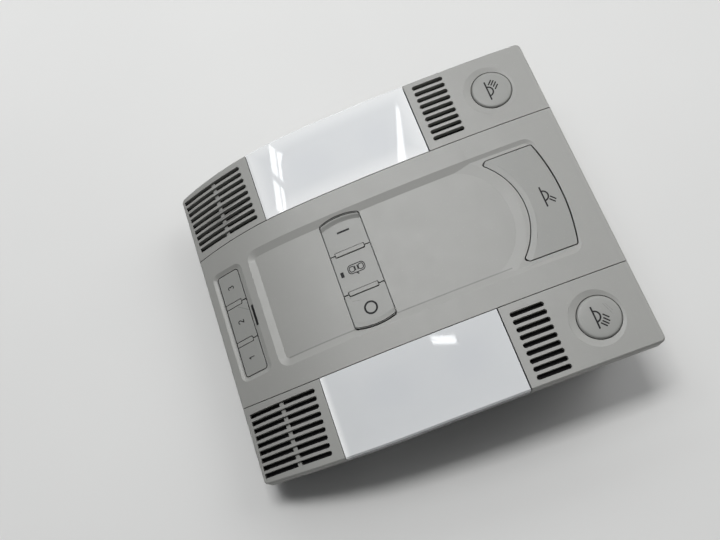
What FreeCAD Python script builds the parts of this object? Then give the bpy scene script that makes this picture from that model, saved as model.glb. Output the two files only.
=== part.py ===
"""Overhead light unit of a car: grilled face, two lamp lenses, nine push buttons and the housing behind."""
import FreeCAD, Part
import Sketcher
import math
import os
import re

doc = FreeCAD.newDocument("overhead_light")
sheet = doc.addObject("Spreadsheet::Sheet", "Dims")

# Driving sizes in millimetres: nose of the unit at -X, back of the housing at z = 0
SIZES = {
    # face; setbacks are measured from the nose and tails from the rear end
    "face_length": 173, "face_width": 148, "unit_height": 41,
    "crown_tail": 35.3, "crown_radius": 670, "nose_run": 52.3, "nose_radius": 150,
    "side_bow_run": 68.2, "side_bow_radius": 600,
    "seam_half": 38.3, "seam_bow_run": 48.2, "seam_bow_radius": 550, "seam_gap": 0.3,
    "nose_length": 37.4, "panel_length": 56.8, "lens_gap": 0.5,
    "wall": 2.5, "skirt_depth": 7.9, "corner_radius": 2.2, "rim_break": 0.7, "overrun": 12, "sky": 14,
    # centre channel and the bowl at its rear end
    "channel_setback": 26.8, "channel_tail": 17, "channel_half": 24.6, "channel_depth": 1.1,
    "channel_corner": 1.5, "channel_slope": 3.5, "slope_over": 1.25,
    "bowl_tail": 60.05, "bowl_radius": 26.3, "bowl_slope": 5.1, "shelf_depth": 0.6,
    # grilles
    "slot_count": 9, "slot_share": 0.6, "slot_corner": 0.6,
    "nose_slot_setback": 3.2, "nose_slot_land": 2.7, "nose_slot_start": 3.8, "nose_slot_margin": 5.26,
    "fan_reach": 1209, "nose_rib_setback": 17, "nose_rib_width": 1.9, "nose_rib_depth": 1.2,
    "rear_slot_land": 3.7, "rear_slot_length": 14.5, "rear_slot_start": 4.8, "rear_slot_margin": 3.7,
    # three switch keys
    "keys_front": -27.9, "keys_rear": -8.8, "keys_half": 25, "keys_bulge": 1.6, "keys_corner": 1.6,
    "key_pitch_half": 9.3, "key_gap": 0.4, "key_wall": 1.3, "key_top": 1.2, "key_end_top": 0.3,
    "key_skirt": 4.6, "key_lip": 0.9, "key_lip_top": 3.7, "key_ramp_inset": 0.5, "key_ramp_width": 2.5,
    "bar_front_land": 2.8, "bar_rear_land": 3.1, "bar_width": 1.8, "bar_top": 0.75, "bar_gap": 0.3,
    "key_stem_y": 17.4, "lamp_setback": 2.75, "lamp_length": 1.4, "lamp_width": 2.4,
    # three numbered keys
    "opener_setback": 6, "opener_length": 11.3, "opener_half": 24.4, "opener_pitch_half": 9.1,
    "opener_depth": 0.8, "opener_slope": 1.6, "opener_land": 0.3, "opener_corner": 1.5,
    "tongue_land": 2.9, "tongue_width": 2, "opener_stem_y": 16.6,
    "strip_land": 0.9, "strip_length": 1, "strip_half": 4.9, "strip_sink": 0.35, "strip_gap": 0.1,
    # crescent button
    "crescent_tail": 15, "crescent_length": 21.3, "crescent_half": 24.8, "crescent_tip_half": 23.2,
    "crescent_inner": 31.45, "crescent_outer": 91, "crescent_top": 0.4, "crescent_corner": 1.2,
    "crescent_stem_tail": 20.5, "roll_width": 3.2, "roll_depth": 0.4,
    # round buttons
    "button_tail": 20.4, "button_radius": 8.95, "button_gap": 0.3, "button_sink": 0.1,
    "button_edge": 0.4, "button_lip": 1.2, "button_lip_top": 3.9, "button_skirt": 5.1,
    "dish_depth": 0.6, "dish_width": 2.55,
    # carrier under the face
    "frame_top": 8, "frame_bottom": 10.5, "frame_inset": 3.2, "frame_ledge": 2.2, "plate_top": 6.3,
    # rear housing
    "tub_setback": 31.5, "tub_tail": 6.5, "tub_margin": 8, "tub_wall": 2, "tub_corner": 6, "tub_seat": 10.6,
    "ear_reach": 11, "ear_width": 14, "ear_thick": 3, "ear_hole": 2.2, "ear_y": 45,
    "post_size": 8, "screw_radius": 1.5, "screw_fit": 0.15, "screw_head": 2.9, "screw_head_thick": 2,
    "screw_sink": 0.4, "screw_land": 7.2, "screw_rear_land": 5.5, "screw_bite": 2,
    # boards and switches
    "board_land": 9, "board_rear_land": 4, "board_half": 34, "board_depth": 23, "board_thick": 1.6,
    "wing_land": 14.1, "wing_rear_land": 3.7, "wing_side": 5.8, "peg_land": 6, "peg_rear_land": 32,
    "peg_y": 28, "peg_size": 6, "peg_tip": 2.4, "peg_rise": 0.6, "peg_fit": 0.2,
    "opener_board_depth": 35, "opener_board_land": 1, "opener_board_rear_land": 9.2,
    "opener_board_half": 26, "cover_depth": 38, "cover_setback": 3.1, "cover_gap": 3,
    "cover_side": 3.8, "cover_wall": 1.6,
    "switch_size": 6.2, "switch_height": 3.5, "switch_well": 3.5, "switch_floor": 1,
    "stem_size": 3, "stem_lift": 5, "plunger_gap": 1.4,
    # lamps
    "reflector_land": 6.6, "reflector_rear_land": 5.7, "reflector_side": 6.2, "reflector_margin": 3,
    "reflector_low": 9, "reflector_wall": 1.2, "reflector_flange_top": 6.7, "reflector_edge": 5.2,
    "reflector_flange": 1.4,
    "dome_bulb_land": 20.5, "dome_bulb_depth": 19, "dome_bulb_half": 13, "dome_bulb_share": 0.27,
    "cap_length": 4.5, "cap_radius": 3.4, "blade_thick": 0.8, "blade_width": 7,
    "reading_bulb_land": 13, "reading_bulb_share": 0.26, "reading_bulb_length": 16, "socket_share": 0.7,
    "socket_top": 13, "socket_low": 2,
    # harness connector
    "plug_length": 18, "plug_half": 13, "plug_low": 6, "plug_wall": 1.6, "plug_back": 3,
    "pin_size": 0.8, "pin_reach": 6, "pin_pitch": 4, "pin_columns": 5, "pin_row_pitch": 4,
    "plug_fit": 0.3,
    # spring clips on the housing's sides
    "clip_land": 19, "clip_rear_land": 32, "clip_width": 9, "clip_thick": 0.6, "clip_low": 9,
    "clip_high": 19, "clip_bulge": 3.2,
}
# Places that follow from the driving sizes
PLACES = {
    "nose_x": "-face_length / 2", "rear_x": "face_length / 2", "side_half": "face_width / 2",
    "crown_x": "rear_x - crown_tail", "nose_start": "nose_x + nose_run",
    "side_bow_start": "nose_x + side_bow_run", "seam_bow_start": "nose_x + seam_bow_run",
    "lens_front": "nose_x + nose_length", "lens_rear": "rear_x - panel_length",
    "channel_front": "nose_x + channel_setback", "channel_rear": "rear_x - channel_tail",
    "bowl_x": "rear_x - bowl_tail",
    "nose_slot_front": "nose_x + nose_slot_setback", "nose_slot_rear": "lens_front - nose_slot_land",
    "nose_slot_first": "seam_half + nose_slot_start",
    "nose_slot_pitch": "(side_half - nose_slot_margin - nose_slot_first) / (slot_count - 1)",
    "nose_rib_front": "nose_x + nose_rib_setback",
    "rear_slot_front": "lens_rear + rear_slot_land", "rear_slot_rear": "rear_slot_front + rear_slot_length",
    "rear_slot_first": "seam_half + rear_slot_start",
    "rear_slot_pitch": "(side_half - rear_slot_margin - rear_slot_first) / (slot_count - 1)",
    "slot_width": "nose_slot_pitch * slot_share",
    "bar_front": "keys_front + bar_front_land", "bar_rear": "keys_rear - bar_rear_land",
    "lamp_x": "keys_front + lamp_setback",
    "opener_front": "nose_x + opener_setback", "opener_rear": "opener_front + opener_length",
    "tongue_rear": "opener_rear - tongue_land", "strip_front": "opener_rear + strip_land",
    "crescent_flat_rear": "rear_x - crescent_tail",
    "crescent_flat_front": "crescent_flat_rear - crescent_length",
    "crescent_stem_x": "rear_x - crescent_stem_tail",
    "button_x": "rear_x - button_tail", "button_y": "(seam_half + side_half) / 2",
    "tub_front": "nose_x + tub_setback", "tub_rear": "rear_x - tub_tail",
    "tub_half": "side_half - tub_margin",
    "ear_x": "tub_front - ear_reach / 2",
    "screw_front": "tub_front + screw_land", "screw_rear": "tub_rear - screw_rear_land",
    "screw_half": "tub_half - screw_land",
    "board_front": "tub_front + board_land", "board_rear": "tub_rear - board_rear_land",
    "board_low": "unit_height - board_depth",
    "wing_front": "button_x - wing_land", "wing_rear": "button_x + wing_rear_land",
    "wing_half": "button_y + wing_side",
    "peg_x_front": "board_front + peg_land", "peg_x_rear": "board_rear - peg_rear_land",
    "opener_board_low": "unit_height - opener_board_depth",
    "opener_board_front": "opener_front - opener_board_land",
    "opener_board_rear": "opener_rear + opener_board_rear_land",
    "cover_low": "unit_height - cover_depth", "cover_front": "nose_x + cover_setback",
    "cover_rear": "tub_front - cover_gap", "cover_half": "opener_half + cover_side",
    "reflector_front": "lens_front + reflector_land", "reflector_rear": "lens_rear - reflector_rear_land",
    "reflector_inner": "seam_half + reflector_side", "reflector_outer": "tub_half - reflector_margin",
    "reflector_width": "reflector_outer - reflector_inner",
    "bulb_y": "(reflector_inner + reflector_outer) / 2",
    "dome_bulb_x": "reflector_front + dome_bulb_land", "dome_bulb_z": "unit_height - dome_bulb_depth",
    "dome_bulb_radius": "reflector_width * dome_bulb_share",
    "reading_bulb_x": "reflector_rear - reading_bulb_land",
    "reading_bulb_radius": "reflector_width * reading_bulb_share",
    "socket_size": "reflector_width * socket_share",
    "plug_front": "tub_rear - plug_length",
    "clip_front": "tub_front + clip_land", "clip_rear": "tub_rear - clip_rear_land",
}
for row, (alias, size) in enumerate(SIZES.items(), 1):
    sheet.set(f"A{row}", alias)
    sheet.set(f"B{row}", str(size))
    sheet.setAlias(f"B{row}", alias)
doc.recompute()


def bind(text):
    """An expression in which each named size points to its cell and each named place is worked out."""
    def meaning(word):
        name = word[0]
        if name in PLACES:
            return f"({bind(PLACES[name])})"
        return f"Dims.{name}" if name in SIZES else name
    return re.sub(r"[a-z][a-z_]+", meaning, text)


def number(text):
    """What an expression is worth now."""
    found = sheet.evalExpression(bind(text))
    return float(getattr(found, "Value", found))


# Skin of the face: a wide crown arc that runs into a tighter nose arc
CROWN_Z = "(unit_height - crown_radius)"
LEAN_SIN = "((crown_x - nose_start) / crown_radius)"
LEAN_COS = f"sqrt(1 - {LEAN_SIN}^2)"
NOSE_X = f"(crown_x - (crown_radius - nose_radius) * {LEAN_SIN})"
NOSE_Z = f"({CROWN_Z} + (crown_radius - nose_radius) * {LEAN_COS})"
REAR_SIN = "((face_length / 2 + overrun - crown_x) / crown_radius)"
REAR_COS = f"sqrt(1 - {REAR_SIN}^2)"
TIP_SIN = f"((face_length / 2 + overrun + {NOSE_X}) / nose_radius)"
TIP_COS = f"sqrt(1 - {TIP_SIN}^2)"
SWITCH_TOP = "(board_low + board_thick + stem_lift)"
OPENER_SWITCH_TOP = "(opener_board_low + board_thick + stem_lift)"


def crown_height(x, depth="0"):
    """Height of the crown arc at x, a given depth under the skin."""
    return f"({CROWN_Z} + sqrt((crown_radius - ({depth}))^2 - (({x}) - crown_x)^2))"


def skin_depth(point):
    """How deep a point lies under the skin."""
    lean = number(LEAN_SIN) / number(LEAN_COS)
    from_crown = (point.x - number("crown_x"), point.z - number(CROWN_Z))
    if from_crown[0] > -lean * from_crown[1]:
        return number("crown_radius") - math.hypot(*from_crown)
    return number("nose_radius") - math.hypot(point.x - number(NOSE_X), point.z - number(NOSE_Z))


# Modelling helpers
FLAT = FreeCAD.Placement()
UPRIGHT = FreeCAD.Placement(FreeCAD.Vector(), FreeCAD.Rotation(FreeCAD.Vector(1, 0, 0), 90))


def add_loop(sketch, corners):
    """A closed outline: (x, y) starts a line and (x, y, radius, turn) an arc to the next corner."""
    points = [FreeCAD.Vector(number(corner[0]), number(corner[1]), 0) for corner in corners]
    first = sketch.GeometryCount
    rules = []
    sizes = []
    ends = []
    for index, corner in enumerate(corners):
        start = points[index]
        stop = points[(index + 1) % len(points)]
        if len(corner) == 2:
            sketch.addGeometry(Part.LineSegment(start, stop))
            ends.append((1, 2))
            continue
        radius = number(corner[2])
        side = 1 if corner[3] == "left" else -1
        half = (stop - start) * 0.5
        reach = math.sqrt(max(radius ** 2 - half.Length ** 2, 0))
        across = FreeCAD.Vector(-half.y, half.x, 0).normalize() * (reach * side)
        centre = start + half + across
        angles = [math.atan2(p.y - centre.y, p.x - centre.x) for p in (start, stop)]
        circle = Part.Circle(centre, FreeCAD.Vector(0, 0, 1), radius)
        sketch.addGeometry(Part.ArcOfCircle(circle, *(angles if side == 1 else angles[::-1])))
        ends.append((1, 2) if side == 1 else (2, 1))
        rules.append(Sketcher.Constraint("Radius", first + index, radius))
        sizes.append(corner[2])
    for index, corner in enumerate(corners):
        edge = first + index
        rules.append(Sketcher.Constraint("DistanceX", -1, 1, edge, ends[index][0], points[index].x))
        rules.append(Sketcher.Constraint("DistanceY", -1, 1, edge, ends[index][0], points[index].y))
        sizes += corner[:2]
    count = sketch.ConstraintCount
    sketch.addConstraint(rules)
    for index, size in enumerate(sizes):
        sketch.setExpression(f"Constraints[{count + index}]", bind(size))
    follow = (index + 1 for index in range(len(corners)))
    sketch.addConstraint([
        Sketcher.Constraint("Coincident", first + index, ends[index][1],
                            first + after % len(corners), ends[after % len(corners)][0])
        for index, after in enumerate(follow)])


def sketch_of(name, placement, loops):
    made = doc.addObject("Sketcher::SketchObject", f"{name}_sketch")
    made.Placement = placement
    for loop in loops:
        add_loop(made, loop)
    return made


def prism(name, loop, low="-sky", high="unit_height + sky"):
    """A plan outline carried straight up from low to high."""
    base = sketch_of(name, FLAT, [loop])
    base.setExpression("Placement.Base.z", bind(low))
    made = doc.addObject("Part::Extrusion", name)
    made.Base = base
    made.DirMode = "Custom"
    made.Dir = FreeCAD.Vector(0, 0, 1)
    made.Solid = True
    made.setExpression("LengthFwd", bind(f"{high} - ({low})"))
    return made


def across(name, loop, width):
    """A side-view outline carried across the unit, half to each side."""
    made = doc.addObject("Part::Extrusion", name)
    made.Base = sketch_of(name, UPRIGHT, [loop])
    made.DirMode = "Custom"
    made.Dir = FreeCAD.Vector(0, 1, 0)
    made.Solid = True
    made.Symmetric = True
    made.setExpression("LengthFwd", bind(width))
    return made


def band(name, top, bottom):
    """The layer between two depths under the skin."""
    def stations(depth):
        crown = f"(crown_radius - ({depth}))"
        nose = f"(nose_radius - ({depth}))"
        rear = (f"crown_x + {crown} * {REAR_SIN}", f"{CROWN_Z} + {crown} * {REAR_COS}")
        bend = (f"crown_x - {crown} * {LEAN_SIN}", f"{CROWN_Z} + {crown} * {LEAN_COS}")
        tip = (f"{NOSE_X} - {nose} * {TIP_SIN}", f"{NOSE_Z} + {nose} * {TIP_COS}")
        return rear, bend, tip, crown, nose
    rear, bend, tip, crown, nose = stations(top)
    under_rear, under_bend, under_tip, under_crown, under_nose = stations(bottom)
    loop = [(*rear, crown, "left"), (*bend, nose, "left"), tip,
            (*under_tip, under_nose, "right"), (*under_bend, under_crown, "right"), under_rear]
    return across(name, loop, "face_width + 2 * overrun")


def box(name, x, y, z):
    made = doc.addObject("Part::Box", name)
    for side, axis, (low, high) in (("Length", "x", x), ("Width", "y", y), ("Height", "z", z)):
        made.setExpression(side, bind(f"({high}) - ({low})"))
        made.setExpression(f"Placement.Base.{axis}", bind(low))
    return made


def square(name, x, y, size, z):
    """An upright square bar about (x, y)."""
    half = f"({size}) / 2"
    return box(name, (f"{x} - {half}", f"{x} + {half}"), (f"{y} - {half}", f"{y} + {half}"), z)


def rod(name, x, y, radius, z):
    """An upright round bar about (x, y)."""
    made = doc.addObject("Part::Cylinder", name)
    made.setExpression("Radius", bind(radius))
    made.setExpression("Height", bind(f"({z[1]}) - ({z[0]})"))
    for axis, size in zip("xyz", (x, y, z[0])):
        made.setExpression(f"Placement.Base.{axis}", bind(size))
    return made


def cone(name, place, radii, height):
    """An upright cone, wider or narrower towards its top."""
    made = doc.addObject("Part::Cone", name)
    for size, value in (("Radius1", radii[0]), ("Radius2", radii[1]), ("Height", height)):
        made.setExpression(size, bind(value))
    for axis, size in zip("xyz", place):
        made.setExpression(f"Placement.Base.{axis}", bind(size))
    return made


def fuse(name, pieces):
    made = doc.addObject("Part::MultiFuse", name)
    made.Shapes = pieces
    return made


def common(name, pieces):
    made = doc.addObject("Part::MultiCommon", name)
    made.Shapes = pieces
    return made


def cut(name, base, tools):
    made = doc.addObject("Part::Cut", name)
    made.Base = base
    made.Tool = tools[0] if len(tools) == 1 else fuse(f"{name}_tools", tools)
    return made


def group(name, pieces):
    """Separate like solids that share one node."""
    made = doc.addObject("Part::Compound", name)
    made.Links = pieces
    return made


def mirrored(name, source):
    made = doc.addObject("Part::Mirroring", name)
    made.Source = source
    made.Normal = FreeCAD.Vector(0, 1, 0)
    return made


def fillet(name, base, radius, wanted):
    """Round the edges that the test picks."""
    doc.recompute()
    made = doc.addObject("Part::Fillet", name)
    made.Base = base
    size = number(radius)
    picked = [index for index, edge in enumerate(base.Shape.Edges, 1) if wanted(edge)]
    made.Edges = [(index, size, size) for index in picked]
    return made


def chamfer(name, base, size, wanted, second=None):
    """Break the edges that the test picks, evenly or by two sizes."""
    doc.recompute()
    made = doc.addObject("Part::Chamfer", name)
    made.Base = base
    sizes = (number(size), number(second or size))
    picked = [index for index, edge in enumerate(base.Shape.Edges, 1) if wanted(edge)]
    made.Edges = [(index, *sizes) for index in picked]
    return made


nodes = {}


def node(label, made):
    """Name a finished sub-part."""
    made.Label = label
    nodes[label] = made
    return made


def pair(name, build):
    """A left piece and its mirror image on the right."""
    left = node(f"{name}_left", build)
    return left, node(f"{name}_right", mirrored(f"{name}_mirror", left))


# Plan outlines, each drawn inwards by an inset
def bowed(x, half, start, radius, inset):
    return f"({half} - {radius} + sqrt(({radius} - ({inset}))^2 - (({x}) - {start})^2))"


def seam_y(x, inset):
    return bowed(x, "seam_half", "seam_bow_start", "seam_bow_radius", inset)


def side_y(x, inset):
    return bowed(x, "face_width / 2", "side_bow_start", "side_bow_radius", inset)


def rounded(x, y, radius):
    """A rectangle with round corners."""
    (x0, x1), (y0, y1) = x, y
    return [(f"{x0} + {radius}", y0), (f"{x1} - ({radius})", y0, radius, "left"),
            (x1, f"{y0} + {radius}"), (x1, f"{y1} - ({radius})", radius, "left"),
            (f"{x1} - ({radius})", y1), (f"{x0} + {radius}", y1, radius, "left"),
            (x0, f"{y1} - ({radius})"), (x0, f"{y0} + {radius}", radius, "left")]


def rectangle(x, y):
    (x0, x1), (y0, y1) = x, y
    return [(x0, y0), (x1, y0), (x1, y1), (x0, y1)]


def spine_plan(inset, half, start, radius):
    """An outline the length of the face, with both sides bowed in towards the nose."""
    nose = f"-face_length / 2 + {inset}"
    rear = f"face_length / 2 - ({inset})"
    flat = f"{half} - ({inset})"
    tip = bowed(nose, half, start, radius, inset)
    arc = f"{radius} - ({inset})"
    return [(nose, f"-{tip}", arc, "left"), (start, f"-({flat})"), (rear, f"-({flat})"),
            (rear, flat), (start, flat, arc, "left"), (nose, tip)]


def centre_plan(inset):
    return spine_plan(inset, "(seam_half - seam_gap / 2)", "seam_bow_start", "seam_bow_radius")


def face_plan(inset):
    return spine_plan(inset, "(face_width / 2)", "side_bow_start", "side_bow_radius")


def nose_plan(inset, corner=None):
    nose = f"-face_length / 2 + {inset}"
    rear = f"lens_front - seam_gap / 2 - ({inset})"
    seam = f"-seam_gap / 2 - ({inset})"
    loop = [(nose, seam_y(nose, seam), f"seam_bow_radius - ({seam})", "right"),
            (rear, seam_y(rear, seam)),
            (rear, side_y(rear, inset), f"side_bow_radius - ({inset})", "left")]
    if corner is None:
        return loop + [(nose, side_y(nose, inset))]
    turn = f"{nose} + {corner}"
    return loop + [(turn, side_y(turn, inset), corner, "left"), (nose, f"{side_y(nose, inset)} - {corner}")]


def lens_plan(inset):
    front = f"lens_front + seam_gap / 2 + {inset}"
    rear = f"lens_rear - lens_gap / 2 - ({inset})"
    seam = f"-seam_gap / 2 - ({inset})"
    flat = f"seam_half + seam_gap / 2 + {inset}"
    side = f"face_width / 2 - ({inset})"
    return [(front, seam_y(front, seam), f"seam_bow_radius - ({seam})", "right"),
            ("seam_bow_start", flat), (rear, flat), (rear, side),
            ("side_bow_start", side, f"side_bow_radius - ({inset})", "left"), (front, side_y(front, inset))]


def button_plan(inset, corner=None):
    front = f"lens_rear + lens_gap / 2 + {inset}"
    rear = f"face_length / 2 - ({inset})"
    flat = f"seam_half + seam_gap / 2 + {inset}"
    side = f"face_width / 2 - ({inset})"
    if corner is None:
        return [(front, flat), (rear, flat), (rear, side), (front, side)]
    return [(front, flat), (rear, flat), (rear, f"{side} - {corner}", corner, "left"),
            (f"{rear} - {corner}", side), (front, side)]


def crescent_plan(inset):
    half = f"crescent_half - ({inset})"
    tip_half = f"crescent_tip_half - ({inset})"
    inner = f"(crescent_inner + {inset})"
    tip = f"bowl_x + sqrt({inner}^2 - ({tip_half})^2)"
    rear = f"crescent_flat_rear - ({inset})"
    return [(rear, f"-({half})", f"crescent_outer - ({inset})", "left"), (rear, half),
            ("crescent_flat_front", half), (tip, tip_half, inner, "right"),
            (tip, f"-({tip_half})"), ("crescent_flat_front", f"-({half})")]


KEYS_REACH = "((keys_rear - keys_front) / 2)"
BULGE = f"(({KEYS_REACH}^2 + keys_bulge^2) / (2 * keys_bulge))"


def keys_plan(inset):
    """The three keys' common outline, with bulged ends."""
    front = f"keys_front + {inset}"
    rear = f"keys_rear - ({inset})"
    half = f"keys_half - ({inset})"
    return [(front, f"-({half})", BULGE, "left"), (rear, f"-({half})"),
            (rear, half, BULGE, "left"), (front, half)]


# Layers of the face that many pieces share
skin = band("skin", "0", "skirt_depth")
inside = band("inside", "wall", "skirt_depth + overrun")
below_seat = band("below_seat", "tub_seat", "unit_height + sky")


def shell(name, plan, **corner):
    """A moulding with a top wall and a skirt round its edge."""
    block = common(f"{name}_block", [prism(f"{name}_plan", plan("0", **corner)), skin])
    hollow = common(f"{name}_hollow", [prism(f"{name}_cavity", plan("wall")), inside])
    return cut(f"{name}_shell", block, [hollow])


def sloped_cutter(name, plan, floor_depth, width, height):
    """A sunken floor whose walls slope out by a width over a height, and on past it; the plan can grow."""
    wide = f"({width} * slope_over)"
    tall = f"(({height}) * slope_over)"
    block = common(f"{name}_block", [
        prism(f"{name}_plan", plan(wide)), band(f"{name}_layer", "-sky", floor_depth)])
    floor = number(floor_depth)
    fold = number("nose_start")

    def on_floor_rim(edge):
        middle = edge.valueAt((edge.FirstParameter + edge.LastParameter) / 2)
        ends = [vertex.Point for vertex in edge.Vertexes]
        level = all(abs(skin_depth(point) - floor) < 0.02 for point in ends + [middle])
        seam = all(abs(point.x - fold) < 0.5 for point in ends)
        return level and not seam
    return chamfer(name, block, tall, on_floor_rim, wide)


def outer_rim(edge):
    """Top edges that lie on the outline of the whole face."""
    middle = edge.valueAt((edge.FirstParameter + edge.LastParameter) / 2)
    if abs(skin_depth(middle)) > 0.02:
        return False
    at_end = abs(abs(middle.x) - number("face_length / 2")) < 0.05
    limit = number("face_width / 2")
    if middle.x < number("side_bow_start"):
        limit = number(side_y(str(middle.x), "0"))
    corner = middle.x > number("face_length / 2 - corner_radius") or middle.x < number(
        "corner_radius - face_length / 2")
    at_side = abs(abs(middle.y) - limit) < 0.05
    at_corner = corner and abs(middle.y) > limit - number("corner_radius")
    return at_end or at_side or at_corner


# Grilled corners
def slot_corners(front, rear, width, square_tail):
    """Corners of one slot as (place along it, distance across it), with the ends' corners taken off."""
    half = f"({width}) / 2"
    inner = f"({half} - slot_corner)"
    rear_turn = f"({rear} - slot_corner)"
    corners = [(rear_turn, f"-{half}"), (rear, f"-{inner}"), (rear, inner), (rear_turn, half)]
    if square_tail:
        return corners + [(front, half), (front, f"-{half}")]
    front_turn = f"({front} + slot_corner)"
    return corners + [(front_turn, half), (front, inner), (front, f"-{inner}"), (front_turn, f"-{half}")]


def nose_grille():
    """Nine slots that fan out from a far point on the centre line, with a sunken rib across."""
    slots = []
    for index in range(int(number("slot_count"))):
        middle = f"(nose_slot_first + {index} * nose_slot_pitch)"
        reach = f"sqrt(fan_reach^2 + {middle}^2)"
        loop = []
        for along, out in slot_corners("nose_slot_front", "nose_slot_rear", "slot_width", True):
            far = f"(fan_reach + {along} - nose_slot_rear)"
            loop.append((f"nose_slot_rear - fan_reach + ({far} * fan_reach - ({out}) * {middle}) / {reach}",
                         f"({far} * {middle} + ({out}) * fan_reach) / {reach}"))
        slots.append(prism(f"nose_slot_{index}", loop))
    grille = cut("nose_slots", shell("nose", nose_plan, corner="corner_radius"), slots)
    rib_plan = rectangle(("nose_rib_front", "nose_rib_front + nose_rib_width"),
                         ("nose_slot_first - 2 * slot_width",
                          "side_half - nose_slot_margin + slot_width / 2"))
    rib_layer = band("nose_rib_layer", "nose_rib_depth", "wall")
    rib = common("nose_rib", [prism("nose_rib_plan", rib_plan), rib_layer])
    return fuse("nose_grille", [grille, rib])


def button_panel():
    """Nine level slots and the dished seat of the reading button."""
    slots = []
    for index in range(int(number("slot_count"))):
        middle = f"rear_slot_first + {index} * rear_slot_pitch"
        corners = slot_corners("rear_slot_front", "rear_slot_rear", "rear_slot_pitch * slot_share", False)
        loop = [(along, f"{middle} + ({out})") for along, out in corners]
        slots.append(prism(f"rear_slot_{index}", loop))
    bore = rod("button_bore", "button_x", "button_y", "button_radius + button_gap",
               ("0", "unit_height + sky"))
    dish = cone("button_dish", ("button_x", "button_y", f"{crown_height('button_x')} - dish_depth"),
                ("button_radius + button_gap", "button_radius + button_gap + 2 * dish_width"),
                "2 * dish_depth")
    panel = shell("button_panel", button_plan, corner="corner_radius")
    return cut("button_panel_slots", panel, slots + [bore, dish])


def lens():
    return shell("lens", lens_plan)


pair("nose_grille", chamfer("nose_grille_rim", nose_grille(), "rim_break", outer_rim))
pair("lens", chamfer("lens_rim", lens(), "rim_break", outer_rim))
pair("button_panel", chamfer("button_panel_rim", button_panel(), "rim_break", outer_rim))

# Centre moulding with its sunken channel and the openings for the keys
OPENER_X = ("opener_front", "opener_rear")
OPENER_Y = ("-opener_half", "opener_half")


def growing(x, half, corner):
    """A rectangle with round corners that can be grown all round."""
    def plan(grow):
        return rounded((f"{x[0]} - {grow}", f"{x[1]} + {grow}"), (f"-{half} - {grow}", f"{half} + {grow}"),
                       f"({corner} + {grow})")
    return plan


def upright(limit):
    """A test for upright edges further out across the unit than a limit."""
    reach = number(limit)

    def test(edge):
        low, high = edge.BoundBox, edge.BoundBox.ZLength
        return high > max(low.XLength, low.YLength) and abs(low.Center.y) > reach
    return test


def bowl_shelf():
    """The raised end of the channel's floor, which slopes up from a round bowl that leans with the skin."""
    rise = "(channel_depth - shelf_depth)"
    half = "(channel_half + channel_slope + wall / 2)"
    plan = rectangle(("bowl_x + channel_slope / 2", "channel_rear + channel_slope + wall / 2"),
                     (f"-{half}", half))
    block = common("shelf_block", [prism("shelf_plan", plan),
                                   band("shelf_layer", "shelf_depth", "channel_depth + wall / 4")])
    middle = "(bowl_x + bowl_radius / 2)"
    lean = f"((crown_x - {middle}) / crown_radius)"
    foot = f"{crown_height(middle)} - channel_depth - {rise} - {lean} * bowl_radius / 2"
    bowl = cone("bowl", ("bowl_x", "0", foot),
                ("bowl_radius - bowl_slope", "bowl_radius + 2 * bowl_slope"), f"3 * {rise}")
    bowl.Placement = FreeCAD.Placement(FreeCAD.Vector(), FreeCAD.Rotation(FreeCAD.Vector(0, 1, 0), 1))
    bowl.setExpression("Placement.Rotation.Angle", bind(f"-asin({lean})"))
    return cut("shelf", block, [bowl])


channel = sloped_cutter(
    "channel", growing(("channel_front", "channel_rear"), "channel_half", "channel_corner"),
    "channel_depth", "channel_slope", "channel_depth")
opener_dish = sloped_cutter(
    "opener_dish", growing(("opener_front - opener_land", "opener_rear + opener_land"),
                           "(opener_half + opener_land)", "opener_corner"),
    "opener_depth", "opener_slope", "opener_depth")
strip_slot = prism("strip_slot", rounded(
    ("strip_front - strip_gap", "strip_front + strip_length + strip_gap"),
    ("-strip_half - strip_gap", "strip_half + strip_gap"), "strip_length / 2"))
keys_opening = fillet("keys_opening", prism("keys_opening_plan", keys_plan("0")), "keys_corner",
                      upright("0"))
crescent_opening = fillet("crescent_opening", prism("crescent_opening_plan", crescent_plan("0")),
                          "crescent_corner", upright("0"))
opener_opening = prism("opener_opening", rounded(OPENER_X, OPENER_Y, "opener_corner"))
centre = cut("centre_channel", shell("centre", centre_plan), [channel])
centre = fuse("centre_shelf", [centre, bowl_shelf()])
for tool in (opener_dish, strip_slot, keys_opening, crescent_opening, opener_opening):
    centre = cut(f"centre_less_{tool.Name}", centre, [tool])
node("centre_panel", chamfer("centre_rim", centre, "rim_break", outer_rim))


# Keys and buttons
def stem(name, x, y, low, top):
    """The leg under a key that reaches down to its switch."""
    layer = band(f"{name}_layer", f"{top} + key_wall / 2", "unit_height + sky")
    return common(name, [square(f"{name}_bar", x, y, "stem_size", (low, "unit_height")), layer])


def key(label, plan, lip_plan, tops, foot, cutters, corner=None):
    """A hollow key with retaining lips under the face, a leg to its switch and perhaps round corners."""
    top, inner_top = tops
    stock = prism(f"{label}_plan", plan("key_gap"))
    if corner:
        radius, limit = corner
        stock = fillet(f"{label}_rounded", stock, f"{radius} - key_gap", upright(limit))
    blank = common(f"{label}_blank", [stock, band(f"{label}_layer", top, "key_skirt")])
    lips = common(f"{label}_lips", [
        prism(f"{label}_lip_plan", lip_plan), band(f"{label}_lip_layer", "key_lip_top", "key_skirt")])
    hollow = common(f"{label}_hollow", [
        prism(f"{label}_cavity", plan("key_gap + key_wall")),
        band(f"{label}_cavity_layer", f"{inner_top} + key_wall", "key_skirt + overrun")])
    body = cut(f"{label}_cap", fuse(f"{label}_body", [blank, lips]), [hollow] + cutters)
    return node(label, fuse(f"{label}_key", [body, stem(f"{label}_stem", *foot, inner_top)]))


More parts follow.
